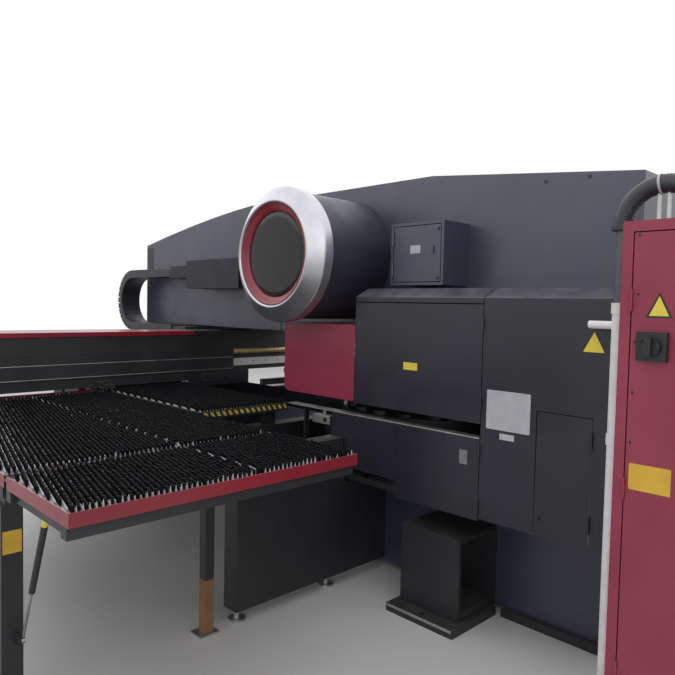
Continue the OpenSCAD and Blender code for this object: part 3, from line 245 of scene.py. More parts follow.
# Blued and oiled tool steel of turrets, dies and jaws, also kept near black to paint the shade in
# the gap under the guard.
oiled_steel_with_painted_shade = metal("oiled_blued_steel_with_painted_shade", "#35363b", "#26272b", 0.42, 3.0, metallic=0.7)
# Ground linear rail with grinding lines along its length: its near-white, barely metallic colour is
# a painted reflection that keeps it bright.
ground_rail_painted_reflection = metal("ground_rail_steel_painted_reflection", "#f4f3ee", "#e8e7e0", 0.35, 0.8, (0.02, 1, 1),
                    metallic=0.15)
# Rolled ball screw, which looks straw gold under its oil.
screw_gold = metal("oiled_ballscrew_steel", "#dfcda0", "#c6ae78", 0.3, 2.0, (0.1, 1, 1),
                   metallic=0.3)
# Zinc plate on the lock plate, the rail's bolt heads and the strut's rod.
zinc_plate = metal("zinc_plated_fittings", "#a9aaad", "#8b8c90", 0.35, 4.0)
# Copper windings of the motor, seen only when the covers are off.
winding_copper = metal("enamelled_copper_windings", "#a2603a", "#7d452a", 0.4, 3.0, (0.05, 1, 1))
# Brushed steel plates below the bristles.
plate_steel = metal("table_plate_steel", "#505156", "#434449", 0.45, 2.0, (0.05, 1, 1))
# Black nylon bristles, dull and dusty at their tips.
bristle = plastic("black_nylon_bristle", "#08090c", "#101115", 0.75, 2.0, 0.2, specular=0.12)
# Pale grey holders that show between the bristles and at the row ends.
holder_plastic = plastic("pale_brush_holder_plastic", "#aaa7ad", "#c4c1c6", 0.5)
# Rigid white PVC pipe, slightly yellowed and scuffed.
white_pvc = plastic("white_pvc_pipe", "#f0eff2", "#e2e0e0", 0.36, 8.0, 0.05)
# Grey PVC sleeve above the white pipe.
grey_pvc = plastic("grey_pvc_sleeve", "#4d4f59", "#5b5d68", 0.42, 8.0, 0.05)
# Ribbed polyamide hose and the links of the energy chain.
chain_nylon = plastic("black_polyamide", "#22232a", "#2f3039", 0.45, 1.5, 0.06)
# Moulded black plastic of the switch, the caps, the plugs and the cable entry.
switch_black = plastic("black_switch_plastic", "#16171a", "#202125", 0.35)
# Rubber of the turrets' drive belts.
belt_rubber = plastic("black_belt_rubber", "#18191b", "#242527", 0.75, 2.5, 0.15)
# Film of the plates and signs, bare of any print.
yellow_film = plastic("yellow_sign_film", "#e6d24a", "#dac544", 0.4, 20.0, 0.02)
amber_film = plastic("amber_sign_film", "#dcb13a", "#cda235", 0.4, 20.0, 0.02)
black_film = plastic("black_sign_film", "#1b1b1d", "#242427", 0.4, 20.0, 0.02)
white_film = plastic("pale_plate_film", "#b6b7bd", "#a9aab1", 0.4, 20.0, 0.02)
# Safety tape of the centre table's edge.
tape_yellow = plastic("yellow_safety_tape", "#c9b45c", "#b09b48", 0.5, 10.0, 0.03)
tape_black = plastic("black_safety_tape", "#19191b", "#232326", 0.5, 10.0, 0.03)
# Brown adhesive wrap round the foot of the guide post.
post_brown = plastic("brown_wrapping_tape", "#7a5a3a", "#8a6a48", 0.6, 4.0, 0.05)
# Galvanised levelling feet and edges, and the pale strips that paint highlights on the carriage's
# edges.
zinc_pale_and_painted_highlight = metal("pale_galvanised_steel_and_painted_highlight", "#b7b8b6", "#9c9d9b", 0.45, 8.0)


# Ways to make and finish a piece


def settle(piece, name, material, body):
    """Names a finished piece, gives it its material and body, and puts its place in its mesh."""
    piece.name = name
    piece.data.name = name
    piece.data.transform(piece.matrix_world)
    piece.matrix_world = Matrix.Identity(4)
    piece.data.materials.clear()
    piece.data.materials.append(material)
    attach(piece, body)
    return piece


def deselect():
    """Nothing is selected, so that the next operator acts on its own piece alone."""
    if bpy.context.object and bpy.context.object.mode != "OBJECT":
        bpy.ops.object.mode_set(mode="OBJECT")
    bpy.ops.object.select_all(action="DESELECT")


def pick(piece):
    """The piece alone is selected and active."""
    deselect()
    piece.select_set(True)
    bpy.context.view_layer.objects.active = piece


def face_out(piece):
    """Turns the piece's faces outward."""
    pick(piece)
    bpy.ops.object.mode_set(mode="EDIT")
    bpy.ops.mesh.select_all(action="SELECT")
    bpy.ops.mesh.normals_make_consistent(inside=False)
    bpy.ops.object.mode_set(mode="OBJECT")


def apply_modifier(piece, kind, **settings):
    """Adds a modifier to the piece and applies it."""
    pick(piece)
    made = piece.modifiers.new(kind.lower(), kind)
    for key, value in settings.items():
        setattr(made, key, value)
    bpy.ops.object.modifier_apply(modifier=made.name)


def round_edges(piece, width, segments=2, angle=30):
    """Rounds the piece's sharp edges by width mm and smooths its curved faces."""
    apply_modifier(piece, "BEVEL", width=mm(width), segments=segments, limit_method="ANGLE",
                   angle_limit=math.radians(angle), use_clamp_overlap=True)
    pick(piece)
    bpy.ops.object.shade_smooth_by_angle(angle=math.radians(40))
    apply_modifier(piece, "WEIGHTED_NORMAL", mode="FACE_AREA", weight=100, keep_sharp=True)


def copied(node):
    """The CAD node's mesh as a new merged mesh with whole flat faces."""
    made = bpy.data.meshes.new(node)
    build = bmesh.new()
    build.from_mesh(frame["nodes"][node].data)
    bmesh.ops.remove_doubles(build, verts=build.verts, dist=mm(0.02))
    bmesh.ops.dissolve_limit(build, angle_limit=math.radians(0.6), verts=build.verts,
                             edges=build.edges)
    build.to_mesh(made)
    build.free()
    piece = bpy.data.objects.new(node, made)
    bpy.context.collection.objects.link(piece)
    return piece


def dressed(name, node, material, slot, width, segments=2, **parts):
    """A copy of a CAD node with rounded edges, which stands for it.

    parts are materials by a word, each with a test of a face's middle in millimetres.
    """
    piece = copied(node)
    round_edges(piece, width, segments)
    settle(piece, name, material, BODY_OF[node])
    for other, test in parts.values():
        piece.data.materials.append(other)
        index = len(piece.data.materials) - 1
        for face in piece.data.polygons:
            if test(*(c * 1000 for c in face.center)):
                face.material_index = index
    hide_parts(node)
    return piece


def block(low, high):
    """A box between two corners in millimetres, as the active object."""
    deselect()
    low, high = mm(*low), mm(*high)
    bpy.ops.mesh.primitive_cube_add(size=1, location=(low + high) / 2, scale=high - low)
    bpy.ops.object.transform_apply(location=True, rotation=True, scale=True)
    return bpy.context.object


def disc(centre, axis, radius, length, sides=32):
    """A round bar along X, Y or Z that starts at a centre in millimetres."""
    deselect()
    turn = {"x": (0, math.pi / 2, 0), "y": (-math.pi / 2, 0, 0), "z": (0, 0, 0)}[axis]
    bpy.ops.mesh.primitive_cylinder_add(vertices=sides, radius=mm(radius), depth=mm(length),
                                        location=mm(*centre), rotation=turn)
    bpy.ops.object.transform_apply(location=True, rotation=True, scale=True)
    made = bpy.context.object
    shift = {"x": Vector((1, 0, 0)), "y": Vector((0, 1, 0)), "z": UP}[axis] * mm(length) / 2
    made.data.transform(Matrix.Translation(shift))
    return made


def joined(pieces):
    """Joins several meshes into the first one."""
    deselect()
    for piece in pieces:
        piece.select_set(True)
    bpy.context.view_layer.objects.active = pieces[0]
    bpy.ops.object.join()
    return bpy.context.object


def rounded(pieces, width, segments=2):
    """Rounds the edges of several pieces and joins them."""
    for piece in pieces:
        round_edges(piece, width, segments)
    return joined(pieces)


def spun(steps, angle, centre):
    """Spins the outline that is being edited about a line along X, and closes the seam."""
    bpy.ops.mesh.select_all(action="SELECT")
    bpy.ops.mesh.spin(steps=steps, angle=angle, center=centre, axis=(1, 0, 0))
    bpy.ops.mesh.select_all(action="SELECT")
    bpy.ops.mesh.remove_doubles(threshold=mm(0.05))
    bpy.ops.mesh.normals_make_consistent(inside=False)
    bpy.ops.object.mode_set(mode="OBJECT")
    return bpy.context.object


def turned(outline, y, z, steps):
    """Turns an outline of (x, radius) points in millimetres about a line along X."""
    deselect()
    bpy.ops.mesh.primitive_plane_add(size=mm(10), location=mm(outline[0][0], y, z + outline[0][1]))
    bpy.ops.object.transform_apply(location=True, rotation=True, scale=True)
    bpy.ops.object.mode_set(mode="EDIT")
    bpy.ops.mesh.merge(type="CENTER")
    for (x0, r0), (x1, r1) in zip(outline, outline[1:]):
        step = mm(x1 - x0, 0, r1 - r0)
        bpy.ops.mesh.extrude_vertices_move(TRANSFORM_OT_translate={"value": step})
    piece = spun(steps, 2 * math.pi, mm(0, y, z))
    pick(piece)
    bpy.ops.object.shade_smooth_by_angle(angle=math.radians(35))
    return piece


def arc(centre, radius, start, end, steps):
    """Points of an arc in an (x, radius) outline, angles in degrees."""
    turns = [math.radians(start + (end - start) * i / steps) for i in range(steps + 1)]
    return [(centre[0] + radius * math.cos(a), centre[1] + radius * math.sin(a)) for a in turns]


def paint(node, material):
    """Gives a CAD node that keeps its own shape a finished material."""
    slots = frame["nodes"][node].data.materials
    slots.clear()
    slots.append(material)


def box_of(node):
    """The low and the high corner of a CAD node at rest, in millimetres."""
    return [[c * 1000 for c in corner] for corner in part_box(node)]


# Heavy frame, drum and covers


def frame_pieces():
    """The welded frame with its throat, the box on it, and the bare machinery inside."""
    # The top of the frame's lower jaw takes the throat's painted shade.
    jaw = (throat_painted_shade, lambda x, y, z: abs(x) < 290 and 500 < z < 930)
    dressed("frame_shell", "main_frame", frame_enamel, "black_enamel", 5, jaw=jaw)
    dressed("outriggers", "foot_plates", base_paint, "dark_enamel", 3)
    dressed("box_on_frame", "junction_box", frame_enamel, "black_enamel", 2)
    dressed("box_on_frame_door", "junction_door", frame_enamel, "black_enamel", 2)
    for material, nodes in (
            (turned_steel, ("bearings", "crankshaft", "connecting_rod", "ram", "ram_guide",
                            "upper_punches", "struck_punch", "turret_drive_shaft")),
            # The near-black steel of the dies and turrets paints the shade under the guard.
            (oiled_steel_with_painted_shade, ("dies", "upper_turret", "lower_turret")),
            (winding_copper, ("servo_stator",)),
            (base_paint, ("die_support", "turret_motor", "servo_drives")),
            (belt_rubber, ("turret_belts",)),
            (zinc_plate, ("strut_rod",))):
        for node in nodes:
            paint(node, material)


def drum_pieces():
    """Drum with its spun silver rim, the red funnel inside it and the gloss disc."""
    low, high = box_of("drum_ring")
    x0, x1, outer = low[0], high[0], (high[1] - low[1]) / 2
    y, z = 0, (low[2] + high[2]) / 2
    opening, seat, floor = 277, 339, x0 + 41
    rim = [(x0, seat), (x0, outer - 3), (x0 + 3, outer)]
    rim += arc((x1 - 68, outer - 18), 18, 90, 35, 5)
    rim += [(x1 - 30, outer - 38), (x1 - 12, outer - 66)]
    rim += arc((x1 - 11, opening + 12), 11, 30, -90, 7)
    rim += [(x1 - 20, opening), (floor, opening), (floor, seat), (x0, seat)]
    piece = turned(rim, y, z, 128)
    settle(piece, "silver_rim", rim_silver, "root")
    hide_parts("drum_ring")

    mouth, front = x1 - 7, x1 - 35
    ring = [(floor, opening - 1), (mouth - 2, opening - 1), (mouth, opening - 3),
            (mouth - 2, opening - 6), (mouth - 9, opening - 14), (mouth - 11, opening - 20),
            (front + 7, 242), (front + 2, 235), (front - 4, 233.5), (front - 12, 233.5)]
    piece = turned(ring + [(front - 12, 4), (floor, 4), (floor, opening - 1)], y, z, 128)
    settle(piece, "red_funnel", rim_enamel, "root")
    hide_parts("drum_face")
    plate = [(front - 11, 1), (front - 11, 231)] + arc((front - 3, 228), 3, 90, 0, 3)
    plate += [(front + 0.4, 200), (front + 1.4, 120), (front + 1.8, 1)]
    piece = turned(plate, y, z, 96)
    settle(piece, "gloss_disc", disc_gloss, "root")
    dressed("drum_shell", "drum_housing", drum_enamel, "black_enamel", 4)


def cover_pieces():
    """The sheet-metal covers and their doors, with the red guard and the bright strip."""
    for node in ("turret_hood", "rear_cover", "lower_cover", "left_covers"):
        red = (red_enamel, lambda x, y, z: y < 428 and z > 995)
        parts = {"guard": red} if node == "left_covers" else {}
        dressed(node + "_painted", node, cover_enamel, "black_enamel", 1.6, **parts)
    for node in ("turret_door", "rear_door"):
        dressed(node + "_painted", node, cover_enamel, "black_enamel", 2.2, 3)
    plate = (zinc_plate, lambda x, y, z: x > 650.3 and abs(y - 1125) < 23 and abs(z - 832) < 34)
    dressed("lower_door_painted", "lower_door", cover_enamel, "black_enamel", 1.2, plate=plate)
    dressed("red_guard_painted", "red_guard", red_enamel, "red_enamel", 2.2, 3)
    strip = (zinc_pale_and_painted_highlight, lambda x, y, z: z > 925.2 and abs(x) > 600)
    dressed("cover_rails", "cover_frame", base_paint, "dark_enamel", 1, strip=strip)


# Tables with their bristles


def is_rim(x, y, z):
    """True for the red edge of a side table, seen by its height and its place."""
    return z > 887 and (z > 919 or abs(x) > 2399 or abs(x) < 1297.5 or y > 1072 or y < -1255)


def table_pieces():
    """The side tables and the flap with their red rims, the centre tables and the bases."""
    for node in ("right_table", "left_table", "table_flap"):
        edge = (rim_enamel, is_rim)
        plates = (plate_steel, lambda x, y, z: 911 < z < 919 and 1298 < abs(x) < 2399)
        dressed(node + "_painted", node, base_paint, "red_enamel", 1.2, edge=edge, plates=plates)
    dressed("centre_tables_painted", "centre_tables", base_paint, "dark_enamel", 1.2)
    feet = (zinc_pale_and_painted_highlight, lambda x, y, z: z < 59 and min(abs(abs(x) - 720), abs(abs(x) - 1301)) < 44)
    edges = (zinc_pale_and_painted_highlight, lambda x, y, z: z < 8.5 and 1425 < abs(x) < 1535)
    dressed("bases_painted", "table_bases", base_paint, "dark_enamel", 2, feet=feet, edges=edges)
    wraps = [block((x0, 299.3, 9), (x1, 346.7, 250))
             for x0, x1 in ((1449.3, 1498.7), (-1498.7, -1449.3))]
    settle(rounded(wraps, 2), "post_wrap", post_brown, "root")
    hazard_edge()


def hazard_edge():
    """Black and yellow safety tape along the rear edge of the centre tables."""
    high = box_of("centre_tables")[1]
    edge_y, z0, z1 = high[1], high[2] - 30, high[2] - 6
    inner, outer, pitch, slant, thick = 664, high[0] - 6, 38, 15, 0.6
    for material, name, shift in ((tape_yellow, "yellow_tape", 0), (tape_black, "black_tape", 0.5)):
        stripes = []
        for side in (1, -1):
            for i in range(int((outer - inner) / pitch)):
                x = inner + (i + shift) * pitch
                stripe = block((x, edge_y, z0), (x + pitch / 2, edge_y + thick, z1))
                for vertex in stripe.data.vertices:
                    if vertex.co.z > mm((z0 + z1) / 2):
                        vertex.co.x += mm(slant)
                    vertex.co.x = min(vertex.co.x, mm(outer)) * side
                stripes.append(stripe)
        piece = joined(stripes)
        face_out(piece)
        settle(piece, name, material, "root")


def cluster(name, template, places, material, body, jitter=0.0):
    """One mesh of many copies of a small template, at (x, y, z, turn, size) places in metres."""
    points, faces, draw = [], [], random.Random(11)
    corners = [v.co.copy() for v in template.data.vertices]
    polygons = [tuple(p.vertices) for p in template.data.polygons]
    for x, y, z, turn, size in places:
        first = len(points)
        spin = Matrix.Rotation(turn, 3, "Z") * size
        for corner in corners:
            point = spin @ corner
            point.z *= 1 + draw.uniform(-jitter, jitter)
            points.append((point.x + x, point.y + y, point.z + z))
        faces += [tuple(first + i for i in polygon) for polygon in polygons]
    bpy.data.objects.remove(template)
    made = bpy.data.meshes.new(name)
    made.from_pydata(points, [], faces)
    made.update()
    piece = bpy.data.objects.new(name, made)
    bpy.context.collection.objects.link(piece)
    return settle(piece, name, material, body)


def cone(low_r, high_r, height):
    """A five-sided cone, or a tuft when it widens upward, on the origin, in millimetres."""
    deselect()
    bpy.ops.mesh.primitive_cone_add(vertices=5, radius1=mm(low_r), radius2=mm(high_r),
                                    depth=mm(height), location=mm(0, 0, height / 2))
    bpy.ops.object.transform_apply(location=True, rotation=True, scale=True)
    return bpy.context.object


# Rows of bristles run 12.5 degrees off Y. Mats meet at the seams, where bare plate shows.
ROW_SLOPE = math.tan(math.radians(12.5))
ROW_PITCH, TUFT_PITCH, STRIP_PITCH = 19, 11, 40
SEAM_X, SEAM_Y, SEAM_GAP = 1750, -345, 7
MAT_THICK, STRIP_RISE = 4, 3


def scattered(draw, x, y, z, low, high):
    """A place for cluster() with a random turn, and a random size between low and high."""
    full_turn = 6.3
    return (*mm(x, y, z), draw.uniform(0, full_turn), draw.uniform(low, high))


def row_places(plate, shift, base, body, has_ends, draw):
    """Places of the tufts, of the pale row ends and of the holder strips on one mat."""
    x0, x1, y0, y1 = plate
    tufts, ends, strips = [], [], []
    run, margin = (y1 - y0) * ROW_SLOPE, 2.5
    length = y1 - y0 - 2 * margin
    count = int(length / TUFT_PITCH) + 1
    at_seam = body == "beam" and abs(abs(x1) - SEAM_X) < 2
    for row in range(int((x1 - x0 + run) / ROW_PITCH) + 1):
        start = x0 - run + shift + row * ROW_PITCH
        for i in range(count):
            y = y0 + margin + length * i / (count - 1)
            x = start + (y - y0) * ROW_SLOPE
            if x0 + 6 < x < x1 - 6:
                x += draw.uniform(-1.5, 1.5)
                tufts.append(scattered(draw, x, y, base + STRIP_RISE, 0.86, 1.04))
        for y in (y1 - 3, y0 + 3):
            x = start + (y - y0) * ROW_SLOPE + ROW_PITCH / 2
            # Nearly every row end shows at the outer edges, and few do at the seams.
            often = 0.9 if abs(y) > 1000 else 0.12
            if has_ends and x0 + 4 < x < x1 - 4 and draw.random() < often:
                ends.append(scattered(draw, x, y, base, 0.75, 1.05))
        y = y0 + (x1 - start) / ROW_SLOPE
        if at_seam and y0 + 4 < y < y1 - 4:
            ends.append(scattered(draw, x1 - 3, y, base, 0.9, 1.1))
        middle = start + ROW_PITCH / 2
        first = max(y0 + 12, y0 + (x0 + 4 - middle) / ROW_SLOPE)
        last = min(y1 - 12, y0 + (x1 - 4 - middle) / ROW_SLOPE) - STRIP_PITCH
        steps = int(max(0, last - first) / STRIP_PITCH) + 1
        for i in range(steps if last > first else 0):
            y = first + (last - first) * i / max(1, steps - 1)
            x = middle + (y - y0) * ROW_SLOPE
            strips.append((*mm(x, y, base + STRIP_RISE), 0, 1))
    return tufts, ends, strips


def base_mat(plate, base, body):
    """The pale holder under one mat, which stops short of the seams and of the inner edge."""
    x0, x1, y0, y1 = plate
    gaps = [SEAM_GAP if abs(abs(x) - SEAM_X) < 2 or body == "beam" and abs(x) < 1310 else 0
            for x in (x0, x1)]
    gaps += [SEAM_GAP if 400 < y < 600 or abs(y - SEAM_Y) < 2 else 0 for y in (y0, y1)]
    mat = block((x0 + gaps[0], y0 + gaps[2], base), (x1 - gaps[1], y1 - gaps[3], base + MAT_THICK))
    round_edges(mat, 1.2, 1)
    return mat


def brush_field(node, body, plates, shifts, has_ends=True):
    """Mats of splayed bristle rows over pale holders, which stand for a CAD node of brushes.

    plates are (x0, x1, y0, y1) in millimetres, and shifts move each mat's rows along X.
    """
    name = node.split("_")[0]
    low, high = box_of(node)
    base, height = low[2], high[2] - low[2]
    draw = random.Random(5)
    tufts, ends, strips = [], [], []
    for plate, shift in zip(plates, shifts):
        found = row_places(plate, shift, base, body, has_ends, draw)
        for places, more in zip((tufts, ends, strips), found):
            places.extend(more)
    mats = [base_mat(plate, base, body) for plate in plates]
    piece = cluster(name + "_bristles", cone(2.6, 5.2, (height - STRIP_RISE) * 0.96), tufts,
                    bristle, body, 0.03)
    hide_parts(node)
    settle(joined(mats), name + "_holders", holder_plastic, body)
    strip = block((-2.2, 0, 0), (2.2, STRIP_PITCH + 1, 12))
    for vertex in strip.data.vertices:
        vertex.co.x += vertex.co.y * ROW_SLOPE
    cluster(name + "_row_strips", strip, strips, holder_plastic, body)
    if ends:
        cluster(name + "_row_ends", cone(6, 0.8, height * 0.95), ends, holder_plastic, body,
                0.05)


def brush_pieces():
    """The brush mats of the side tables, the flap and the centre tables."""
    front_y, hinge_y, left_seam_y = -1075, 538, 541
    for body, node in (("beam", "right_brushes"), ("beam", "left_brushes"),
                       ("flap", "flap_brushes")):
        low, high = box_of(node)
        if body == "flap":
            plates = [(low[0], SEAM_X - 1, low[1], high[1]), (SEAM_X + 1, high[0], low[1], high[1])]
        else:
            inner, outer = sorted((abs(low[0]), abs(high[0])))
            is_right = node == "right_brushes"
            # The right table stops at the flap's hinge, and the left one runs on without a flap.
            cuts = [front_y, SEAM_Y] + ([hinge_y] if is_right else [left_seam_y, high[1]])
            plates = [(x[0] + 1, x[1] - 1, y[0] + 1, y[1] - 1)
                      for x in ((inner, SEAM_X), (SEAM_X, outer)) for y in zip(cuts, cuts[1:])]
            if not is_right:
                plates = [(-x1, -x0, y0, y1) for x0, x1, y0, y1 in plates]
        brush_field(node, body, plates, [3 + 8 * i % 23 for i in range(len(plates))])
    low, high = box_of("centre_brushes")
    inner = 667
    plates = [(inner, high[0], low[1], high[1]), (-high[0], -inner, low[1], high[1])]
    brush_field("centre_brushes", "root", plates, [4, 12], has_ends=False)


def strut_pieces():
    """The gas strut's tube with the yellow sleeve round it, on the line from foot to head."""
    dressed("gas_strut_tube", "strut_cylinder", base_paint, "dark_enamel", 0.6)
    foot, head_y, head_z = (2315, 462, 313), 693, 830
    sleeve = disc((0, 0, 503), "z", 12.2, 42)
    round_edges(sleeve, 0.8)
    lean = math.atan2(head_y - foot[1], head_z - foot[2])
    sleeve.data.transform(Matrix.Translation(mm(*foot)) @ Matrix.Rotation(-lean, 4, "X"))
    settle(sleeve, "strut_sleeve", yellow_film, "strut_cylinder")


# Beam and carriage


def beam_pieces():
    """The beam with its cover, rail and screws, and the carriage with its three clamps."""
    dressed("beam_painted", "beam", base_paint, "dark_enamel", 2.5)
    # Painted shadow: the cover's middle, under the frame's arm, takes black base paint in place of
    # red.
    middle = (base_paint, lambda x, y, z: abs(x) < 571)
    dressed("beam_cover_painted", "beam_cover", rim_enamel, "red_enamel", 2, middle=middle)
    # The rail's near-white colour is a painted reflection.
    dressed("cross_rail", "x_rail", ground_rail_painted_reflection, "machined_steel", 1.2)
    dressed("carriage_painted", "carriage", base_paint, "dark_enamel", 1.5)
    low, high = box_of("carriage")
    # Painted highlights: two thin pale strips along the carriage's front edges, where its folded
    # edges catch the light.
    edges = [block((low[0] + 6, -1185, z), (high[0] - 6, -1183.2, z + 4.5)) for z in (1019, 1103)]
    settle(rounded(edges, 0.5, 1), "carriage_painted_highlights", zinc_pale_and_painted_highlight, "carriage")
    dressed("clamp_blocks", "clamp_bodies", base_paint, "machined_steel", 1.5)
    for i in (1, 2, 3):
        dressed(f"jaw_{i}", f"clamp_jaw_{i}", oiled_steel_with_painted_shade, "machined_steel", 1.2)
    threaded("cross_screw", "x_ballscrew", (-2206, 2350), 40, screw_gold, "x")
    threaded("feed_screw", "y_ballscrew", (-1850, 250), 25, turned_steel, "y")
    rail_bolts()


def threaded(name, node, span, lead, material, along):
    """Ball screw: a rod with a rounded helical groove between its plain journals."""
    radius, journal = 20, 12
    axis = "xy".index(along)
    low, high = box_of(node)
    place = [(a + b) / 2 for a, b in zip(low, high)]
    turns = int((span[1] - span[0] - 40) / lead)
    start = span[0] + 20
    stop = start + turns * lead
    deselect()
    bpy.ops.mesh.primitive_plane_add(size=mm(1))
    piece = bpy.context.object
    bpy.ops.object.mode_set(mode="EDIT")
    bpy.ops.mesh.merge(type="CENTER")
    bpy.ops.transform.translate(value=mm(radius - 0.2, 0, 0))
    # One turn's section: a land and a groove, as shares of the lead and millimetres inward.
    for share, inward in ((0.3, 0), (0.12, -1.6), (0.16, -0.9), (0.16, 0.9), (0.12, 1.6),
                          (0.14, 0)):
        step = mm(inward, 0, share * lead)
        bpy.ops.mesh.extrude_vertices_move(TRANSFORM_OT_translate={"value": step})
    bpy.ops.object.mode_set(mode="OBJECT")
    apply_modifier(piece, "SCREW", angle=2 * math.pi, screw_offset=mm(lead), iterations=turns,
                   steps=20, render_steps=20, axis="Z", use_merge_vertices=True,
                   merge_threshold=mm(0.2))
    place[axis] = start
    piece.data.transform(Matrix.Rotation(math.pi / 2, 4, "Y") if along == "x" else
                         Matrix.Rotation(-math.pi / 2, 4, "X"))
    piece.data.transform(Matrix.Translation(mm(*place)))
    ends = []
    for first, last, size in ((low[axis], start + 1, journal), (stop - 1, high[axis], journal),
                              (span[0] + 0.3, start + 2, radius),
                              (stop - 2, span[1] - 0.3, radius)):
        place[axis] = first
        ends.append(disc(place, along, size, last - first))
    piece = joined([piece] + ends)
    face_out(piece)
    bpy.ops.object.shade_smooth_by_angle(angle=math.radians(40))
    settle(piece, name, material, BODY_OF[node])
    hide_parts(node)


def rail_bolts():
    """Socket-head bolts sunk along the cross rail."""
    low, high = box_of("x_rail")
    z, y = (low[2] + high[2]) / 2, high[1] - 8.5
    bolts = [disc((x, y, z), "y", 6.2, 5, 16) for x in range(-2340, 2341, 120)]
    piece = joined(bolts)
    round_edges(piece, 0.8, 1)
    settle(piece, "rail_bolts", zinc_plate, "beam")


# Energy chain, hose and pipe


def chain_pieces():
    """Links of the energy chain: hollow frames with pivot bosses, a pitch apart round the bend."""
    low, high = box_of("y_chain")
    x, bend_z = (low[0] + high[0]) / 2, (low[2] + high[2]) / 2
    bend_y = low[1] + (high[2] - low[2]) / 2
    tall, pitch, wall = 65, 45, 8
    radius = (high[2] - low[2]) / 2 - tall / 2
    link = link_shape(high[0] - low[0], tall, pitch, wall)
    places = []
    for way, end in ((1, -1700), (-1, -1695)):
        count = int((end - bend_y) / pitch)
        length = (end - bend_y) / count
        for i in range(count):
            y = bend_y + (i + 0.5) * length
            places.append((Matrix.Translation(mm(x, y, bend_z + way * radius)), length / pitch))
    count = round(math.pi * radius / pitch)
    for i in range(count):
        turn = math.pi * (i + 0.5) / count
        y, z = bend_y - radius * math.sin(turn), bend_z + radius * math.cos(turn)
        places.append((Matrix.Translation(mm(x, y, z)) @ Matrix.Rotation(turn, 4, "X"),
                       math.pi * radius / count / pitch))
    links = []
    for place, stretch in places:
        made = link.copy()
        made.data = link.data.copy()
        bpy.context.collection.objects.link(made)
        made.data.transform(place @ Matrix.Diagonal((1, stretch, 1, 1)))
        links.append(made)
    bpy.data.objects.remove(link)
    piece = settle(joined(links), "energy_chain", chain_nylon, "y_chain")
    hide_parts("y_chain")
    dressed("chain_trough_painted", "chain_trough", trough_enamel, "black_enamel", 2)


def link_shape(width, tall, pitch, wall):
    """One link at the origin, drawn out along Y: two side plates, two bridges and two bosses."""
    half, rise, boss = width / 2, tall / 2, 0.8
    parts = []
    for side in (-1, 1):
        inner, outer = sorted((side * half, side * (half - wall)))
        plate = block((inner + 0.6, -pitch / 2 + 0.8, -rise), (outer - 0.6, pitch / 2 - 0.8, rise))
        round_edges(plate, 5, 2, 60)
        parts.append(plate)
        start = side * (half - boss) - (boss if side < 0 else 0)
        parts.append(disc((start, -pitch / 4, 0), "x", 11, boss, 16))
    for top in (-1, 1):
        z0, z1 = sorted((top * rise, top * (rise - wall + 1)))
        bridge = block((-half + wall - 1, -pitch / 2 + 1.5, z0 + 0.5),
                       (half - wall + 1, pitch / 2 - 1.5, z1 - 0.5))
        round_edges(bridge, 1.5, 1)
        parts.append(bridge)
    return joined(parts)


def hose_pieces():
    """Ribbed hose from the grey sleeve over to the cabinet's top, with its pipe and clips."""
    low, high = box_of("hose")
    x, bend, centre_y, base_z = (low[0] + high[0]) / 2, 142, 1957, 1805
    root_r, rib_r, steps = 31.5, 34, 96
    deselect()
    bpy.ops.mesh.primitive_circle_add(vertices=28, radius=mm(root_r),
                                      location=mm(x, centre_y - bend, base_z))
    bpy.ops.object.transform_apply(location=True, rotation=True, scale=True)
    bpy.ops.object.mode_set(mode="EDIT")
    hose = spun(steps, math.pi, mm(x, centre_y, base_z))
    for vertex in hose.data.vertices:
        turn = math.atan2(vertex.co.z - mm(base_z), mm(centre_y) - vertex.co.y)
        core = mm(x, centre_y - bend * math.cos(turn), base_z + bend * math.sin(turn))
        if round(turn / math.pi * steps) % 2:
            vertex.co = core + (vertex.co - core) * rib_r / root_r
    bpy.ops.object.shade_smooth_by_angle(angle=math.radians(60))
    collars = [disc((x, centre_y - bend, base_z - 12), "z", 38, 20),
               disc((x, centre_y + bend, base_z), "z", 46, 10),
               disc((x, centre_y + bend, base_z + 10), "z", 40, 12)]
    for collar in collars:
        round_edges(collar, 2)
    hose = settle(joined([hose] + collars), "ribbed_hose", chain_nylon, "root")
    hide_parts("hose")
    sleeve = (grey_pvc, lambda px, py, pz: pz > 1512.5 or (px < 676 and py > 1790))
    dressed("riser_pipe", "conduit_pipe", white_pvc, "white_pvc", 1.5, sleeve=sleeve)
    band = hose_band(x, centre_y, base_z, bend, 84)
    settle(band, "hose_band", white_film, "root")
    feet = []
    for turn in (80, 97):
        angle = math.radians(turn)
        y = centre_y - (bend - 31) * math.cos(angle)
        top = base_z + (bend - 30) * math.sin(angle)
        feet += [block((x - 8, y - 5, base_z - 1), (x + 8, y + 5, top)),
                 block((x - 16, y - 16, base_z - 0.5), (x + 16, y + 16, base_z + 4))]
    settle(rounded(feet, 1.5), "hose_brackets", zinc_pale_and_painted_highlight, "root")


def hose_band(x, y, z, bend, degrees):
    """A tie round the hose at an angle of its bend."""
    deselect()
    bpy.ops.mesh.primitive_torus_add(major_radius=mm(34.6), minor_radius=mm(2.2), major_segments=40,
                                     minor_segments=8)
    piece = bpy.context.object
    turn = math.radians(degrees)
    middle = mm(x, y - bend * math.cos(turn), z + bend * math.sin(turn))
    piece.data.transform(Matrix.Diagonal((1, 1, 2.2, 1)))
    piece.data.transform(Matrix.Rotation(-turn, 4, "X"))
    piece.data.transform(Matrix.Translation(middle))
    bpy.ops.object.shade_smooth_by_angle(angle=math.radians(60))
    return piece


# Plates, signs and small fittings


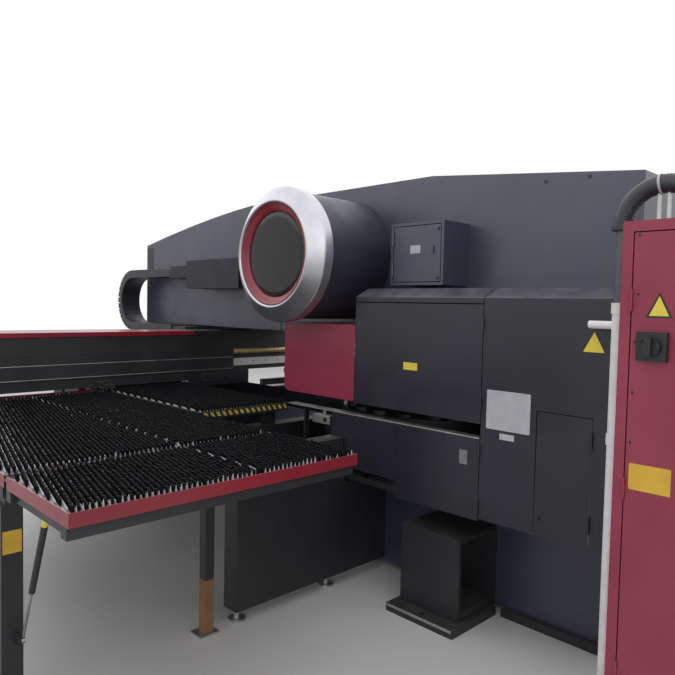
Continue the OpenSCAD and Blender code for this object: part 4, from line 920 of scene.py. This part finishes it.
def plate_on(name, x, y, z, material, body, thick=0.8, corner=3):
    """A thin plate on a face that looks along +X, with rounded corners."""
    piece = block((x, y[0], z[0]), (x + thick, y[1], z[1]))
    weights = piece.data.attributes.new("bevel_weight_edge", "FLOAT", "EDGE")
    for edge in piece.data.edges:
        first, second = (piece.data.vertices[i].co for i in edge.vertices)
        if abs(first.x - second.x) > mm(thick / 2):
            weights.data[edge.index].value = 1
    apply_modifier(piece, "BEVEL", width=mm(corner), segments=4, limit_method="WEIGHT")
    settle(piece, name, material, body)


def triangle_on(name, x, y, z, body):
    """A yellow triangle in a dark border on a face that looks along +X, with nothing printed."""
    middle = (y[0] + y[1]) / 2
    for part, inset, out, material in (("_border", 0, 0.7, black_film),
                                       ("_field", 8, 0.9, yellow_film)):
        half = (y[1] - y[0]) / 2 - inset * 1.5
        foot, top = z[0] + inset * 0.8, z[1] - inset * 1.7
        deselect()
        bpy.ops.mesh.primitive_circle_add(vertices=3, radius=1, fill_type="NGON")
        piece = bpy.context.object
        corners = ((middle, top), (middle - half, foot), (middle + half, foot))
        for vertex, place in zip(piece.data.vertices, corners):
            vertex.co = mm(x + out, *place)
        bpy.ops.object.mode_set(mode="EDIT")
        bpy.ops.mesh.select_all(action="SELECT")
        bpy.ops.mesh.extrude_region_move(TRANSFORM_OT_translate={"value": mm(-out, 0, 0)})
        face_out(piece)
        settle(piece, name + part, material, body)


def sign_pieces():
    """Plates and signs on the faces that look along +X, each at its face's x."""
    cover_x, cabinet_x, box_x, frame_x = 650, 860, 512, 300
    plate_on("door_plate", cover_x, (761, 847), (1197, 1233), yellow_film, "turret_door")
    plate_on("notice_plate", cover_x, (1238, 1447), (980, 1150), white_film, "root", thick=1,
             corner=6)
    plate_on("small_plate", cover_x, (1306, 1376), (941, 967), white_film, "root")
    plate_on("cabinet_plate", cabinet_x, (1934, 2068), (902, 991), amber_film, "cabinet_door")
    triangle_on("cover_triangle", cover_x, (1650, 1758), (1336, 1434), "root")
    triangle_on("cabinet_triangle", cabinet_x, (1965, 2052), (1482, 1567), "cabinet_door")
    plate_on("box_label", box_x, (673, 737), (1772, 1812), white_film, "junction_door")
    leg = block((2308, 435, 620), (2371, 435.8, 700))
    settle(leg, "leg_plate", amber_film, "beam")
    plate_on("front_end_plate", frame_x, (-2447, -2342), (1750, 1962), base_paint, "root",
             1.5)


def fitting_pieces():
    """Doors of the cabinet, its switch, and the screws and caps that the photograph shows."""
    dressed("cabinet_painted", "cabinet_shell", red_enamel, "red_enamel", 2)
    switch = (switch_black, lambda x, y, z: x > 861 and y > 1930)
    dressed("cabinet_door_painted", "cabinet_door", red_enamel, "red_enamel", 2, switch=switch)
    dressed("isolator_grip", "isolator_knob", switch_black, "black_enamel", 3, 3)
    screws = [disc((860, y, z), "x", 5, 2, 16) for y, z in
              ((1936, 1757), (1940, 1560), (1936, 1400), (1934, 1230), (1934, 1060))]
    settle(rounded(screws, 0.8, 1), "cabinet_screws", switch_black, "cabinet_door")
    caps = [disc((300, y, z), "x", 9, 3, 20) for y, z in ((1291, 2093), (1498, 2090))]
    settle(rounded(caps, 1, 1), "frame_plugs", switch_black, "root")
    edges = [block((x0, 733, 26), (x1, 1120, 39)) for x0, x1 in ((696, 697.6), (-697.6, -696))]
    settle(joined(edges), "outrigger_edges", zinc_pale_and_painted_highlight, "root")
    sensor_box()


def sensor_box():
    """Small grey box that hangs below the strip of the lower covers, with a dark cable entry."""
    case = block((604, 102, 845), (640, 240, 892))
    round_edges(case, 3)
    hanger = block((612, 158, 891), (616, 184, 925))
    round_edges(hanger, 0.8, 1)
    settle(joined([case, hanger]), "sensor_box", zinc_pale_and_painted_highlight, "root")
    entry = disc((640, 204, 868), "x", 13, 3, 24)
    round_edges(entry, 1)
    settle(entry, "sensor_box_entry", switch_black, "root")


# Floor and light


def add_floor():
    """Pale sealed concrete floor, which isn't part of the machine."""
    deselect()
    bpy.ops.mesh.primitive_plane_add(size=60, location=(0, 0, 0))
    floor = bpy.context.object
    floor.name = "floor"
    material, tree, bsdf = new_material("pale_floor")
    bsdf.inputs["Roughness"].default_value = 0.55
    tree.links.new(mix(tree, ramp(tree, noise(tree, 900, 4), 0.3, 0.7), "#d2d2d1", "#dad9d8"),
                   bsdf.inputs["Base Color"])
    floor.data.materials.append(material)


def add_surroundings():
    """White surroundings, full to the eye and in mirrors but dimmer where they light a surface."""
    world = bpy.data.worlds.new("surroundings")
    bpy.context.scene.world = world
    world.use_nodes = True
    tree = world.node_tree
    shader = tree.nodes["Background"]
    shader.inputs["Color"].default_value = linear("#ffffff")
    ways = add_node(tree, "ShaderNodeLightPath").outputs
    seen = ways["Is Camera Ray"]
    for ray in ("Is Glossy Ray", "Is Transmission Ray"):
        seen = add_node(tree, "ShaderNodeMath", [(0, seen), (1, ways[ray])],
                        operation="MAXIMUM").outputs[0]
    tree.links.new(ramp(tree, seen, 0.0, 1.0, 0.34, 1.0), shader.inputs["Strength"])


def add_lamp(name, place, size, power, aim):
    """A soft rectangular lamp that lights the scene but doesn't show in it, sizes in metres."""
    data = bpy.data.lights.new(name, "AREA")
    data.shape = "RECTANGLE"
    data.size, data.size_y = size
    data.energy = power
    lamp = bpy.data.objects.new(name, data)
    bpy.context.collection.objects.link(lamp)
    lamp.location = place
    lamp.visible_camera = False
    lamp.rotation_euler = aim.to_track_quat("-Z", "Y").to_euler()


def add_lights():
    """A bright ceiling and a window beyond the cabinet's corner."""
    add_lamp("ceiling", (1.0, 0.0, 3.8), (16, 16), 620, -UP)
    window, target = Vector((7.0, 5.0, 2.6)), Vector((0.6, 0.2, 1.0))
    add_lamp("window", window, (6, 3), 70, target - window)


frame_pieces()
drum_pieces()
cover_pieces()
table_pieces()
brush_pieces()
strut_pieces()
beam_pieces()
chain_pieces()
hose_pieces()
fitting_pieces()
sign_pieces()
add_floor()
add_surroundings()
add_lights()
